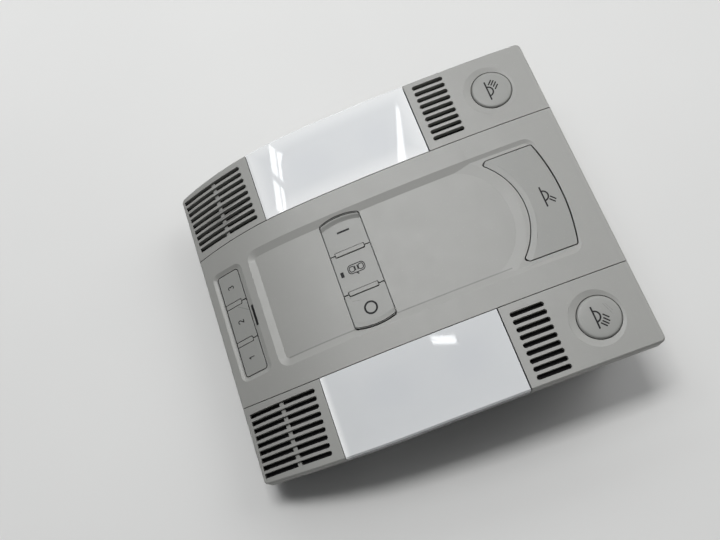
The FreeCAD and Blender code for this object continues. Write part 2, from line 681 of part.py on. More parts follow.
def slice_plan(outline, low, high):
    """The part of the keys' common outline between two heights across the unit."""
    def plan(inset):
        return rectangle((f"{outline[0]} + {inset}", f"{outline[1]} - ({inset})"),
                         (f"{low} + {inset}", f"{high} - ({inset})"))
    return plan


def bars(name, front, rear, pitch_half, width, gap, layer=None):
    """Two pill-shaped bars between the keys, or the notches for them."""
    made = []
    for side in ("", "-"):
        middle = f"{side}{pitch_half}"
        loop = rounded((f"{front} - {gap}", f"{rear} + {gap}"),
                       (f"{middle} - {width} / 2 - {gap}", f"{middle} + {width} / 2 + {gap}"),
                       "bar_width / 4")
        made.append(prism(f"{name}_{len(made)}", loop))
    if layer is None:
        return made
    return [common(f"{bar.Name}_bar", [bar, layer]) for bar in made]


KEYS_X = ("keys_front", "keys_rear")
KEYS_MIDDLE = "((keys_front + keys_rear) / 2)"
HALF_GAP = "key_gap / 2"


def end_key_plan(inset):
    """The bulged end of the keys' outline, out from the first divider."""
    front = f"keys_front + {inset}"
    rear = f"keys_rear - ({inset})"
    low = f"key_pitch_half - {HALF_GAP} + {inset}"
    half = f"keys_half - ({inset})"
    return [(front, low), (rear, low), (rear, half, BULGE, "left"), (front, half)]


def ramp_plan(grow):
    """The level middle of the keys, between its bulged ends and carried out past its sides."""
    arc = f"({BULGE} - key_ramp_inset - key_ramp_width + {grow})"
    reach = f"({KEYS_REACH} + {grow} + key_gap)"
    half = f"(keys_half + keys_bulge - {BULGE} + sqrt({arc}^2 - {reach}^2))"
    front = f"{KEYS_MIDDLE} - {reach}"
    rear = f"{KEYS_MIDDLE} + {reach}"
    return [(front, f"-{half}", arc, "left"), (rear, f"-{half}"), (rear, half, arc, "left"), (front, half)]


def lips_of(outline, low, high):
    """The lips along both long sides of a key."""
    wide = (f"{outline[0]} - key_lip + key_gap", f"{outline[1]} + key_lip - key_gap")
    return rectangle(wide, (low, high))


key_notches = bars("key_notch", "bar_front", "bar_rear", "key_pitch_half", "bar_width", "bar_gap")
ramp = sloped_cutter("key_ramp", ramp_plan, "key_top", "key_ramp_width", "key_top - key_end_top")
end_lips = lips_of(KEYS_X, "key_pitch_half + key_gap", "keys_half - key_gap")
on_key = key("key_on", end_key_plan, end_lips, ("key_end_top", "key_top"),
             (KEYS_MIDDLE, "key_stem_y", SWITCH_TOP), key_notches + [ramp],
             ("keys_corner", "keys_half / 2"))
node("key_off", mirrored("key_off_mirror", on_key))
lamp_hole = box("key_lamp_hole", ("lamp_x - lamp_length / 2", "lamp_x + lamp_length / 2"),
                ("-lamp_width / 2", "lamp_width / 2"), ("board_low", "unit_height + sky"))
door_span = (f"-key_pitch_half - {HALF_GAP}", f"key_pitch_half + {HALF_GAP}")
door_lips = lips_of(KEYS_X, "key_gap - key_pitch_half", "key_pitch_half - key_gap")
key("key_door", slice_plan(KEYS_X, *door_span), door_lips, ("key_top", "key_top"),
    (KEYS_MIDDLE, "0", SWITCH_TOP), key_notches + [lamp_hole])
door_lamp_layer = band("door_lamp_layer", "key_top", "key_top + key_wall")
node("key_door_lamp", common("door_lamp", [lamp_hole, door_lamp_layer]))

tongue_notches = bars(
    "tongue_notch", "opener_front", "tongue_rear", "opener_pitch_half", "tongue_width", "bar_gap")
OPENER_MIDDLE = "((opener_front + opener_rear) / 2)"
OPENER_LIP_END = "opener_half - 2 * key_gap"


opener_tops = ("opener_depth", "opener_depth")
end_opener = key(
    "opener_key_3", slice_plan(OPENER_X, f"opener_pitch_half - {HALF_GAP}", "opener_half"),
    lips_of(OPENER_X, "opener_pitch_half + key_gap", OPENER_LIP_END), opener_tops,
    (OPENER_MIDDLE, "opener_stem_y", OPENER_SWITCH_TOP), tongue_notches,
    ("opener_corner", "opener_half / 2"))
node("opener_key_1", mirrored("opener_key_mirror", end_opener))
opener_span = (f"-opener_pitch_half - {HALF_GAP}", f"opener_pitch_half + {HALF_GAP}")
key("opener_key_2", slice_plan(OPENER_X, *opener_span),
    lips_of(OPENER_X, "key_gap - opener_pitch_half", "opener_pitch_half - key_gap"), opener_tops,
    (OPENER_MIDDLE, "0", OPENER_SWITCH_TOP), tongue_notches)

crescent_lips = rectangle(("crescent_flat_rear - overrun", "crescent_flat_rear - key_lip"),
                          ("-crescent_half - key_lip + key_gap", "crescent_half + key_lip - key_gap"))
crescent_roll = cone("crescent_roll", ("bowl_x", "0", "unit_height - crescent_top - roll_depth"),
                     ("crescent_inner", "crescent_inner + 2 * roll_width"), "2 * roll_depth")
key("dome_button", crescent_plan, crescent_lips, ("crescent_top", "crescent_top"),
    ("crescent_stem_x", "0", SWITCH_TOP), [crescent_roll], ("crescent_corner", "0"))


def round_button():
    """A turned button with a raised top and a retaining flange, and a square leg."""
    body = doc.addObject("PartDesign::Body", "round_button")
    planes = {plane.Role: plane for plane in body.Origin.OriginFeatures}
    edge = "(button_radius - button_edge)"
    rim = "(-button_sink)"
    roof = "(-button_sink - key_wall)"
    flange = "(button_radius + button_lip)"
    profile = body.newObject("Sketcher::SketchObject", "round_button_profile")
    profile.AttachmentSupport = (planes["XZ_Plane"], "")
    profile.MapMode = "FlatFace"
    add_loop(profile, [
        ("0", rim), (edge, rim), ("button_radius", f"{rim} - button_edge"),
        ("button_radius", "-button_lip_top"), (flange, "-button_lip_top"), (flange, "-button_skirt"),
        ("0", "-button_skirt")])
    turned = body.newObject("PartDesign::Revolution", "round_button_cap")
    turned.Profile = profile
    turned.ReferenceAxis = (profile, ["V_Axis"])
    foot = body.newObject("Sketcher::SketchObject", "round_button_foot")
    foot.AttachmentSupport = (planes["XY_Plane"], "")
    foot.MapMode = "FlatFace"
    half = "stem_size / 2"
    add_loop(foot, [(f"-{half}", f"-{half}"), (half, f"-{half}"), (half, half), (f"-{half}", half)])
    foot.setExpression("AttachmentOffset.Base.z", bind(f"{roof} + key_wall / 2"))
    leg = body.newObject("PartDesign::Pad", "round_button_leg")
    leg.Profile = foot
    leg.Reversed = True
    leg_top = f"{crown_height('button_x')} - button_sink - key_wall / 2"
    leg.setExpression("Length", bind(f"{leg_top} - {SWITCH_TOP}"))
    for axis, size in zip("xyz", ("button_x", "button_y", crown_height("button_x"))):
        body.setExpression(f"Placement.Base.{axis}", bind(size))
    return body


pair("reading_button", round_button())

# Frames under the key rows, with the fixed bars between the keys
plate_layer = band("plate_layer", "plate_top", "skirt_depth")
bar_layer = band("bar_layer", "bar_top", "plate_top + wall / 4")
tongue_layer = band("tongue_layer", "opener_depth", "plate_top + wall / 4")


def key_frame(name, x, half, posts, feet):
    """A plate with the bars standing on it and windows for the keys' legs."""
    plan = prism(f"{name}_plan", rectangle(x, (f"-({half})", half)))
    plate = common(f"{name}_plate", [plan, plate_layer])
    windows = [square(f"{name}_window_{index}", *foot, "stem_size + 2 * key_wall", ("0", "unit_height"))
               for index, foot in enumerate(feet)]
    return fuse(f"{name}_made", [cut(f"{name}_cut", plate, windows)] + posts)


KEY_FEET = [(KEYS_MIDDLE, "-key_stem_y"), (KEYS_MIDDLE, "0"), (KEYS_MIDDLE, "key_stem_y")]
OPENER_FEET = [(OPENER_MIDDLE, middle) for middle in ("-opener_stem_y", "0", "opener_stem_y")]
node("key_frame", key_frame(
    "keys", ("keys_front - 2 * wall", "keys_rear + 2 * wall"), "keys_half + 2 * wall",
    bars("key_bar", "bar_front", "bar_rear", "key_pitch_half", "bar_width", "0", bar_layer), KEY_FEET))
node("opener_frame", key_frame(
    "openers", ("opener_front - wall", "strip_front + strip_length + wall"), "opener_half + 2 * wall",
    bars("tongue", "opener_front + key_gap", "tongue_rear", "opener_pitch_half", "tongue_width", "0",
         tongue_layer), OPENER_FEET))
strip_plan = rounded(("strip_front", "strip_front + strip_length"), ("-strip_half", "strip_half"),
                     "strip_length / 3")
node("opener_lamp", common("opener_strip", [
    prism("opener_strip_plan", strip_plan), band("opener_strip_layer", "strip_sink", "plate_top")]))

# Carrier that the face mouldings and key frames sit on
SCREWS = [(x, y) for x in ("screw_front", "screw_rear") for y in ("-screw_half", "screw_half")]
frame_layer = band("frame_layer", "frame_top", "frame_bottom")


def framed(name, x, y):
    """A straight-sided window."""
    return prism(name, rectangle(x, y))


def mid_frame():
    plate = common("frame_plate", [prism("frame_plan", face_plan("frame_inset")), frame_layer])
    lens_window_x = ("reflector_front - frame_ledge / 2", "reflector_rear + frame_ledge / 2")
    windows = [
        framed("lens_window_left", lens_window_x,
                     ("reflector_inner - frame_ledge / 2", "reflector_outer + frame_ledge / 2")),
        framed("lens_window_right", lens_window_x,
                     ("-reflector_outer - frame_ledge / 2", "frame_ledge / 2 - reflector_inner")),
        framed("keys_window", KEYS_X, ("-keys_half", "keys_half")),
        framed("opener_window", OPENER_X, OPENER_Y),
        framed("crescent_window", ("crescent_stem_x - 2 * stem_size", "crescent_stem_x + 2 * stem_size"),
                     ("-2 * stem_size", "2 * stem_size")),
    ]
    for side in ("", "-"):
        windows.append(square(f"button_window_{len(windows)}", "button_x", f"{side}button_y",
                              "2 * stem_size", ("0", "unit_height")))
    holes = [rod(f"frame_hole_{index}", x, y, "screw_radius + screw_fit", ("0", "unit_height"))
             for index, (x, y) in enumerate(SCREWS)]
    return cut("frame_cut", plate, windows + holes)


node("mid_frame", mid_frame())


# Rear housing
def tub(name, x, half, low, wall, corner):
    """An open box whose rim follows the underside of the carrier."""
    outer = common(f"{name}_outer", [
        prism(f"{name}_plan", rounded(x, (f"-({half})", half), corner), low), below_seat])
    inner_x = (f"{x[0]} + {wall}", f"{x[1]} - {wall}")
    inner_y = (f"{wall} - ({half})", f"{half} - {wall}")
    inner = prism(f"{name}_inner", rounded(inner_x, inner_y, f"({corner} - {wall})"), f"{low} + {wall}")
    return outer, inner


PEGS = [(x, y) for x in ("peg_x_front", "peg_x_rear") for y in ("-peg_y", "peg_y")]
PLUG_Y = ("-plug_half", "plug_half")
PLUG_Z = ("plug_low", "board_low")


def rear_housing():
    outer, inner = tub("tub", ("tub_front", "tub_rear"), "tub_half", "0", "tub_wall", "tub_corner")
    posts = [common(f"screw_post_{index}", [
        square(f"screw_post_bar_{index}", x, y, "post_size", ("0", "unit_height")), below_seat])
        for index, (x, y) in enumerate(SCREWS)]
    for index, (x, y) in enumerate(PEGS):
        posts.append(square(f"peg_{index}", x, y, "peg_size", ("tub_wall / 2", "board_low")))
        posts.append(square(f"peg_tip_{index}", x, y, "peg_tip",
                            ("board_low - board_thick", "board_low + board_thick + peg_rise")))
    holes = []
    for index, side in enumerate(("", "-")):
        posts.append(box(f"ear_{index}", ("tub_front - ear_reach", "tub_front + tub_wall / 2"),
                         (f"{side}ear_y - ear_width / 2", f"{side}ear_y + ear_width / 2"),
                         ("0", "ear_thick")))
        holes.append(rod(f"ear_bore_{index}", "ear_x", f"{side}ear_y", "ear_hole",
                         ("-sky", "ear_thick + sky")))
    for index, (x, y) in enumerate(SCREWS):
        holes.append(rod(f"post_bore_{index}", x, y, "screw_radius + screw_fit", ("-sky", "unit_height")))
        holes.append(rod(f"post_sink_{index}", x, y, "screw_head + 2 * screw_fit",
                         ("-sky", "screw_sink + screw_head_thick")))
    holes.append(box("plug_mouth", ("tub_rear - 2 * tub_wall", "tub_rear + sky"),
                     ("-plug_half - plug_fit", "plug_half + plug_fit"),
                     ("plug_low - plug_fit", "board_low + plug_fit")))
    made = cut("tub_hollow", outer, [inner])
    return cut("tub_bores", fuse("tub_posts", [made] + posts), holes)


node("rear_housing", rear_housing())


def hexagon(x, y, radius):
    """A six-sided plan about (x, y)."""
    turns = [(math.cos(math.radians(60 * side)), math.sin(math.radians(60 * side))) for side in range(6)]
    return [(f"{x} + {radius} * {east:.6f}", f"{y} + {radius} * {north:.6f}") for east, north in turns]


screws = []
for index, (x, y) in enumerate(SCREWS):
    frame_under = crown_height(x, "frame_bottom")
    head = prism(f"screw_head_{index}", hexagon(x, y, "screw_head"),
                 "screw_sink", "screw_sink + screw_head_thick")
    shank = rod(f"screw_shank_{index}", x, y, "screw_radius",
                ("screw_sink", f"{frame_under} + screw_bite - wall / 2"))
    screws.append(fuse(f"screw_{index}", [head, shank]))
node("housing_screws", group("screws", screws))


def spring_clip(index, x, side):
    """A sprung strip on the housing's side wall, bowed out to grip the edge of the roof's opening."""
    wall = "tub_half + seam_gap / 3"
    middle = "(clip_low + clip_high) / 2"
    out = f"{wall} + clip_bulge"
    loop = [(wall, "clip_low"), (f"{wall} + clip_thick", "clip_low"), (f"{out} + clip_thick", middle),
            (f"{wall} + clip_thick", "clip_high"), (wall, "clip_high"), (out, middle)]
    made = doc.addObject("Part::Extrusion", f"clip_{index}")
    made.Base = sketch_of(f"clip_{index}", FreeCAD.Placement(
        FreeCAD.Vector(), FreeCAD.Rotation(FreeCAD.Vector(1, 1, 1), 120)), [loop])
    made.DirMode = "Custom"
    made.Dir = FreeCAD.Vector(1, 0, 0)
    made.Solid = True
    made.Symmetric = True
    made.setExpression("LengthFwd", "Dims.clip_width")
    made.setExpression("Placement.Base.x", bind(x))
    return mirrored(f"clip_mirror_{index}", made) if side < 0 else made


clip_places = [(x, side) for x in ("clip_front", "clip_rear") for side in (1, -1)]
node("retaining_clips", group("clips", [
    spring_clip(index, *place) for index, place in enumerate(clip_places)]))


# Circuit boards and switches
BOARD_Z = ("board_low", "board_low + board_thick")
peg_holes = [square(f"peg_hole_{index}", x, y, "peg_tip + 2 * peg_fit", ("0", "unit_height"))
             for index, (x, y) in enumerate(PEGS)]
board_plates = fuse("board_plates", [
    box("board_spine", ("board_front", "board_rear"), ("-board_half", "board_half"), BOARD_Z),
    box("board_wing", ("wing_front", "wing_rear"), ("-wing_half", "wing_half"), BOARD_Z)])
node("circuit_board", cut("board_drilled", board_plates, peg_holes))

cover_outer, cover_inner = tub(
    "cover", ("cover_front", "cover_rear"), "cover_half", "cover_low", "cover_wall", "corner_radius")
ledge_x = ("opener_board_front - cover_wall", "opener_board_front + cover_wall")
ledge_z = ("cover_low", "opener_board_low")
cover_ledges = [box("cover_ledge_front", ledge_x, ("-opener_board_half", "opener_board_half"), ledge_z),
                box("cover_ledge_rear", ("opener_board_rear - cover_wall", "opener_board_rear + cover_wall"),
                    ("-opener_board_half", "opener_board_half"), ledge_z)]
node("opener_cover", fuse("cover_made", [cut("cover_hollow", cover_outer, [cover_inner])] + cover_ledges))
node("opener_board", box("opener_board_plate", ("opener_board_front", "opener_board_rear"),
                         ("-opener_board_half", "opener_board_half"),
                         ("opener_board_low", "opener_board_low + board_thick")))


def switch_housing(name, x, y, board_top):
    case = square(f"{name}_case", x, y, "switch_size", (board_top, f"{board_top} + switch_height"))
    well = square(f"{name}_well", x, y, "switch_well",
                  (f"{board_top} + switch_floor", f"{board_top} + stem_lift"))
    return cut(f"{name}_housing", case, [well])


def plunger(label, x, y, board_top):
    node(label, square(f"{label}_bar", x, y, "stem_size",
                       (f"{board_top} + switch_floor + plunger_gap", f"{board_top} + stem_lift")))


BOARD_TOP = "board_low + board_thick"
OPENER_BOARD_TOP = "opener_board_low + board_thick"
FEET = {
    "on": (KEYS_MIDDLE, "key_stem_y"), "door": (KEYS_MIDDLE, "0"), "off": (KEYS_MIDDLE, "-key_stem_y"),
    "dome": ("crescent_stem_x", "0"), "reading_left": ("button_x", "button_y"),
    "reading_right": ("button_x", "-button_y"),
}
for purpose, place in FEET.items():
    plunger(f"plunger_{purpose}", *place, BOARD_TOP)
for index, place in enumerate(OPENER_FEET, 1):
    plunger(f"plunger_opener_{index}", *place, OPENER_BOARD_TOP)
node("switch_housings", group("switches", [
    switch_housing(f"switch_{purpose}", *place, BOARD_TOP) for purpose, place in FEET.items()]))
node("opener_switches", group("opener_switch_group", [
    switch_housing(f"opener_switch_{index}", *place, OPENER_BOARD_TOP)
    for index, place in enumerate(OPENER_FEET)]))


# Harness connector under the board, open to the rear
def connector():
    shell_box = box("plug_shell", ("plug_front", "tub_rear"), PLUG_Y, PLUG_Z)
    room = box("plug_room", ("plug_front + plug_back", "tub_rear + sky"),
               ("plug_wall - plug_half", "plug_half - plug_wall"),
               ("plug_low + plug_wall", "board_low - plug_wall"))
    return cut("plug_header", shell_box, [room])


node("connector_header", connector())
pins = []
for column in range(int(number("pin_columns"))):
    for row in (-1, 1):
        y = f"({column} - (pin_columns - 1) / 2) * pin_pitch"
        z = f"(plug_low + board_low) / 2 + {row} * pin_row_pitch / 2"
        pins.append(box(f"pin_{len(pins)}",
                        ("plug_front + plug_back", "plug_front + plug_back + pin_reach"),
                        (f"{y} - pin_size / 2", f"{y} + pin_size / 2"),
                        (f"{z} - pin_size / 2", f"{z} + pin_size / 2")))
node("connector_pins", group("pins", pins))


# Lamps
def reflector():
    """A white trough under the lens, hung from the carrier by its flange."""
    x = ("reflector_front", "reflector_rear")
    y = ("reflector_inner", "reflector_outer")
    grown = "reflector_wall + reflector_flange"
    wide_x = (f"{x[0]} - ({grown})", f"{x[1]} + {grown}")
    wide_y = (f"{y[0]} - ({grown})", f"{y[1]} + {grown}")
    trough = common("reflector_body", [
        prism("reflector_plan", rectangle(x, y), "reflector_low"),
        band("reflector_layer", "reflector_edge", "unit_height + sky")])
    flange = common("reflector_flange_made", [
        prism("reflector_flange_plan", rectangle(wide_x, wide_y)),
        band("reflector_flange_layer", "reflector_flange_top", "skirt_depth")])
    room = prism("reflector_room", rectangle(
        (f"{x[0]} + reflector_wall", f"{x[1]} - reflector_wall"),
        (f"{y[0]} + reflector_wall", f"{y[1]} - reflector_wall")), "reflector_low + reflector_wall")
    hole = square("reflector_hole", "reading_bulb_x", "bulb_y", "socket_size", ("0", "socket_top"))
    return cut("reflector_made", fuse("reflector_flanged", [trough, flange]), [room, hole])


def turned(name, corners, axis_x, axis_y, axis_z, along):
    """A turned piece about an upright or a lengthwise axis; corners are (radius, place along the axis)."""
    body = doc.addObject("PartDesign::Body", name)
    planes = {plane.Role: plane for plane in body.Origin.OriginFeatures}
    profile = body.newObject("Sketcher::SketchObject", f"{name}_profile")
    profile.AttachmentSupport = (planes["XZ_Plane"], "")
    profile.MapMode = "FlatFace"
    add_loop(profile, corners)
    spun = body.newObject("PartDesign::Revolution", f"{name}_turned")
    spun.Profile = profile
    spun.ReferenceAxis = (profile, ["V_Axis"])
    if along == "x":
        body.Placement = FreeCAD.Placement(FreeCAD.Vector(), FreeCAD.Rotation(FreeCAD.Vector(0, 1, 0), 90))
    for axis, size in zip("xyz", (axis_x, axis_y, axis_z)):
        body.setExpression(f"Placement.Base.{axis}", bind(size))
    return body


def dome_bulb():
    """A festoon lamp: a glass tube between two metal caps."""
    reach = "dome_bulb_half + cap_length"
    return turned("dome_bulb", [
        ("0", f"-({reach})"), ("cap_radius", f"-({reach})"), ("cap_radius", "-dome_bulb_half"),
        ("dome_bulb_radius", "-dome_bulb_half"), ("dome_bulb_radius", "dome_bulb_half"),
        ("cap_radius", "dome_bulb_half"), ("cap_radius", reach), ("0", reach)],
        "dome_bulb_x", "bulb_y", "dome_bulb_z", "x")


def reading_bulb():
    """A wedge-base lamp standing in its socket."""
    top = "(socket_top + reading_bulb_length)"
    return turned("reading_bulb", [
        ("0", "socket_top"), ("reading_bulb_radius", "socket_top"),
        ("reading_bulb_radius", top), ("0", top)],
        "reading_bulb_x", "bulb_y", "0", "z")


def blades(name):
    """The two contact blades that hold the festoon lamp by its ends."""
    made = []
    reach = "(dome_bulb_half + cap_length)"
    for near, far in ((f"-{reach} - blade_thick", f"-{reach}"), (reach, f"{reach} + blade_thick")):
        made.append(box(f"{name}_{len(made)}", (f"dome_bulb_x + {near}", f"dome_bulb_x + {far}"),
                        ("bulb_y - blade_width / 2", "bulb_y + blade_width / 2"),
                        ("reflector_low + reflector_wall", "dome_bulb_z + cap_radius")))
    return made


pair("reflector", reflector())
pair("dome_bulb", dome_bulb())
pair("reading_bulb", reading_bulb())
pair("bulb_socket", square("socket", "reading_bulb_x", "bulb_y", "socket_size - 2 * screw_fit",
                          ("socket_low", "socket_top")))
left_blades = blades("blade")
node("festoon_clips", group("blade_set", left_blades + [
    mirrored(f"blade_mirror_{index}", blade) for index, blade in enumerate(left_blades)]))

# Checks and files
doc.recompute()
for made in doc.Objects:
    if {"Invalid", "Error"} & set(made.State):
        raise RuntimeError(f"{made.Name} ({made.Label}) failed: {made.State}")
for label, made in nodes.items():
    if made.Shape.isNull() or not made.Shape.isValid() or made.Shape.Volume <= 0:
        raise RuntimeError(f"{label} has no valid shape")

os.makedirs("parts", exist_ok=True)
for label, made in nodes.items():
    made.Shape.exportStep(f"parts/{label}.step")
    print(f"{label}: {len(made.Shape.Solids)} solid(s), {made.Shape.Volume / 1000:.2f} cm3")
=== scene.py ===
"""Finishes, soft forms, printed marks and stage for the overhead light unit of a car."""

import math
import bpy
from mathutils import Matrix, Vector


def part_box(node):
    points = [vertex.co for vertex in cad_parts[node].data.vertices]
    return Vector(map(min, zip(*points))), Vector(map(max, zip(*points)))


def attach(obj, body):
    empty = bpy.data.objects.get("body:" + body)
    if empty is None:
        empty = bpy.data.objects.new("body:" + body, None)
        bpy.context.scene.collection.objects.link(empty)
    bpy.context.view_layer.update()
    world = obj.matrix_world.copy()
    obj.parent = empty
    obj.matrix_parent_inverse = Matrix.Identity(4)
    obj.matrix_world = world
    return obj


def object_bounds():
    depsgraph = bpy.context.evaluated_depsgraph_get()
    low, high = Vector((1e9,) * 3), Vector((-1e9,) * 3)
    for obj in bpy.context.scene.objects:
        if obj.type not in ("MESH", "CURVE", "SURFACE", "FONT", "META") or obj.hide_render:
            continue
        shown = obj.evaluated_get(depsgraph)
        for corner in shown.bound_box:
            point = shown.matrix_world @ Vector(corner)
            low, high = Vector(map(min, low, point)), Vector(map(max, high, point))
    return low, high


bl_info = {
    "name": "Overhead Light Unit",
    "version": (1, 0, 0),
    "blender": (4, 5, 0),
    "location": "3D View > Sidebar > Overhead Light",
    "description": "Dresses the overhead light unit and sets up its stage",
    "category": "Object",
}

import bmesh
import bpy
from bpy.props import FloatProperty, FloatVectorProperty, PointerProperty
from mathutils import Matrix, Quaternion, Vector

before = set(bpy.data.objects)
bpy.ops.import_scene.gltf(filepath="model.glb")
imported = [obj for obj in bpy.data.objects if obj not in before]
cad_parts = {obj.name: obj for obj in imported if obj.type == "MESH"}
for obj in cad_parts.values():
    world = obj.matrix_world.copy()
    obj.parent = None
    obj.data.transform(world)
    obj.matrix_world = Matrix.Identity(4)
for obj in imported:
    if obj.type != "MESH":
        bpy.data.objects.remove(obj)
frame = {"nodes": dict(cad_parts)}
CAD_BOX = [list(corner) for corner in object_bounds()]
NODES = frame["nodes"]
MM = 0.001

SIDES = ("left", "right")
FACE_NODES = ("centre_panel", "nose_grille_left", "nose_grille_right",
              "button_panel_left", "button_panel_right")
KEY_NODES = ("key_on", "key_door", "key_off", "opener_key_1", "opener_key_2", "opener_key_3",
             "dome_button", "reading_button_left", "reading_button_right")

# The crowned face: a long arc, a tighter one at the nose, and the wall of the mouldings
FACE_RADIUS = 670.0 * MM
FACE_CROWN_X = 51.2 * MM
NOSE_RADIUS = 150.0 * MM
NOSE_START_X = -34.2 * MM
FACE_WALL = 2.5 * MM

# The row of switch keys: depths of its keys and rim under the face, and the outline of its ends
KEY_SINK = 1.2 * MM
KEY_RIM_SINK = 0.3 * MM
KEY_ROW_HALF = 9.05 * MM
RIM_RADIUS = 28.25 * MM
RIM_CENTRE_Y = -2.7 * MM
RIM_CORNER = 1.58 * MM
RIM_CORNER_X = 7.55 * MM
RIM_CORNER_Y = 23.39 * MM

# The felt behind the slots: its ends and sides from those of its moulding, and the gap above it
NOSE_FELT_END = 1.6 * MM
REAR_FELT_START = 2.6 * MM
REAR_FELT_STOP = 19.7 * MM
FELT_SIDE = 3.0 * MM
FELT_GAP = 0.02 * MM

# How far the ramps and crowns reach into what they lie on
RAMP_SEAT = 0.03 * MM
CROWN_SEAT = 0.02 * MM

# Finishes
FACE_ROUGHNESS = 0.52
FACE_GLOSS = 0.75
# How dark the painted shade in the narrow gaps is on the corner mouldings
CORNER_GAP_SHADE = 0.7
KEY_ROUGHNESS = 0.47
EDGE_LIGHT = 1.25
EDGE_SHARE = 0.35
SCRATCH_DARK = 0.35
SCRATCH_SHARE = 0.75
SCRATCH_BREAKS = 0.8
ACRYLIC_IOR = 1.49
ACRYLIC_ROUGHNESS = 0.03
GLASS_IOR = 1.5
# Widths of the painted glow at a lens border and of the painted highlight along its front edge
EDGE_GLOW_WIDTH = 9.0 * MM
FRONT_HIGHLIGHT_WIDTH = 3.0 * MM
# Reaches of the painted shadows of the bulbs on the lenses, along and across the unit
DOME_BULB_SHADOW = (16.0 * MM, 12.0 * MM)
READING_BULB_SHADOW = (13.0 * MM, 13.0 * MM)

# The painted shade line at the foot of the channel's lower wall, drawn as a scratch: start, stop, width and
# how broken it is
CREASE_SHADE_LINE = ((-58.5 * MM, -24.6 * MM, 0), (42.0 * MM, -24.6 * MM, 0), 0.44 * MM, 0.1)

# Scratches of use, each with start, stop and width in mm from the middle of its key in plan
KEY_SCRATCHES = {
    "opener_key_2": ("key_grey_nicked", [((0.4, 7.3), (5.85, 3.0), 0.22)]),
    "key_off": ("key_grey_scuffed", [
        ((-6.55, 5.2), (-3.05, 4.4), 0.18), ((-7.45, 7.0), (-6.85, 6.6), 0.25)]),
    "reading_button_right": ("key_grey_rubbed", [
        ((3.4, 4.6), (5.4, -0.6), 0.16), ((4.3, 4.4), (5.9, 0.8), 0.12)]),
}

# Printed marks: places in plan, and line widths as shares of the set stroke
DIGIT_SHIFT_X = -0.25 * MM
DIGIT_Y = {1: -16.9 * MM, 2: 0.2 * MM, 3: 17.0 * MM}
DIGIT_STROKE = 1.1
BAR_Y = 18.85 * MM
BAR_STROKE = 1.25
RING_Y = -18.05 * MM
RING_STROKE = 1.2
CAR_Y = 0.9 * MM
READING_SHIFT = (-1.8 * MM, -0.2 * MM)
READING_RAYS = (0, 26, 48, 68)
READING_REACH = 3.3 * MM
DOME_PLACE = (66.5 * MM, -0.1 * MM)
DOME_RAYS = (21, 46)
DOME_REACH = 2.9 * MM
LAMP_SPAN = 4.75 * MM
LAMP_SHIFT = 0.4 * MM
LAMP_BULGE = 2.25 * MM
RAY_X = 2.001 * MM
RAY_Y = 2.088 * MM
RAY_STROKE = 0.85

# Stage, in metres
BACKDROP = (0.80, 0.80, 0.795, 1)
COOL_WHITE = (0.97, 0.985, 1.0, 1)
LAMP_AIM = (0, 0, 0.03)
KEY_LAMP_SIZE = (0.5, 0.2)
SIDE_LAMP_SIZE = (1.5, 1.5)
FLOOR_HALF = 3.0
FLOOR_FADE = (0.3, 1.0)
WINDOW_CORNER, WINDOW_ACROSS, WINDOW_ALONG = (-0.545, 0.916), (0.09, -0.055), (-0.175, -0.155)
PANES_ACROSS = ((0, 0.58), (0.70, 1))
PANES_ALONG = ((0, 0.43), (0.54, 1))
NARROW_GAP = ((0.087, 0.825), (0.1, 0.822), (0.038, 0.679), (0.007, 0.687))
ROOFLIGHT = ((-0.138, 0.243), (0.09, -0.02), (0.004, 0.019))
NEAR_CARD = ((-0.9, 0.62), (1.3, 0), (0, 0.42))
FAR_CARD = ((-1.0, 1.35), (2.3, 0), (0, 1.2))
CARD_BEHIND = 0.05


# Settings

def colour(name, description, default):
    """A colour setting."""
    return FloatVectorProperty(name=name, description=description, subtype="COLOR", size=3, min=0, max=1,
                               default=default)


def length(name, description, default):
    """A length setting in metres."""
    return FloatProperty(name=name, description=description, unit="LENGTH", subtype="DISTANCE",
                         precision=5, default=default)


def spot(name, description, default):
    """A setting for a place in metres."""
    return FloatVectorProperty(name=name, description=description, subtype="TRANSLATION", unit="LENGTH",
                               default=default)


def number(name, description, default):
    """A plain number setting."""
    return FloatProperty(name=name, description=description, default=default)


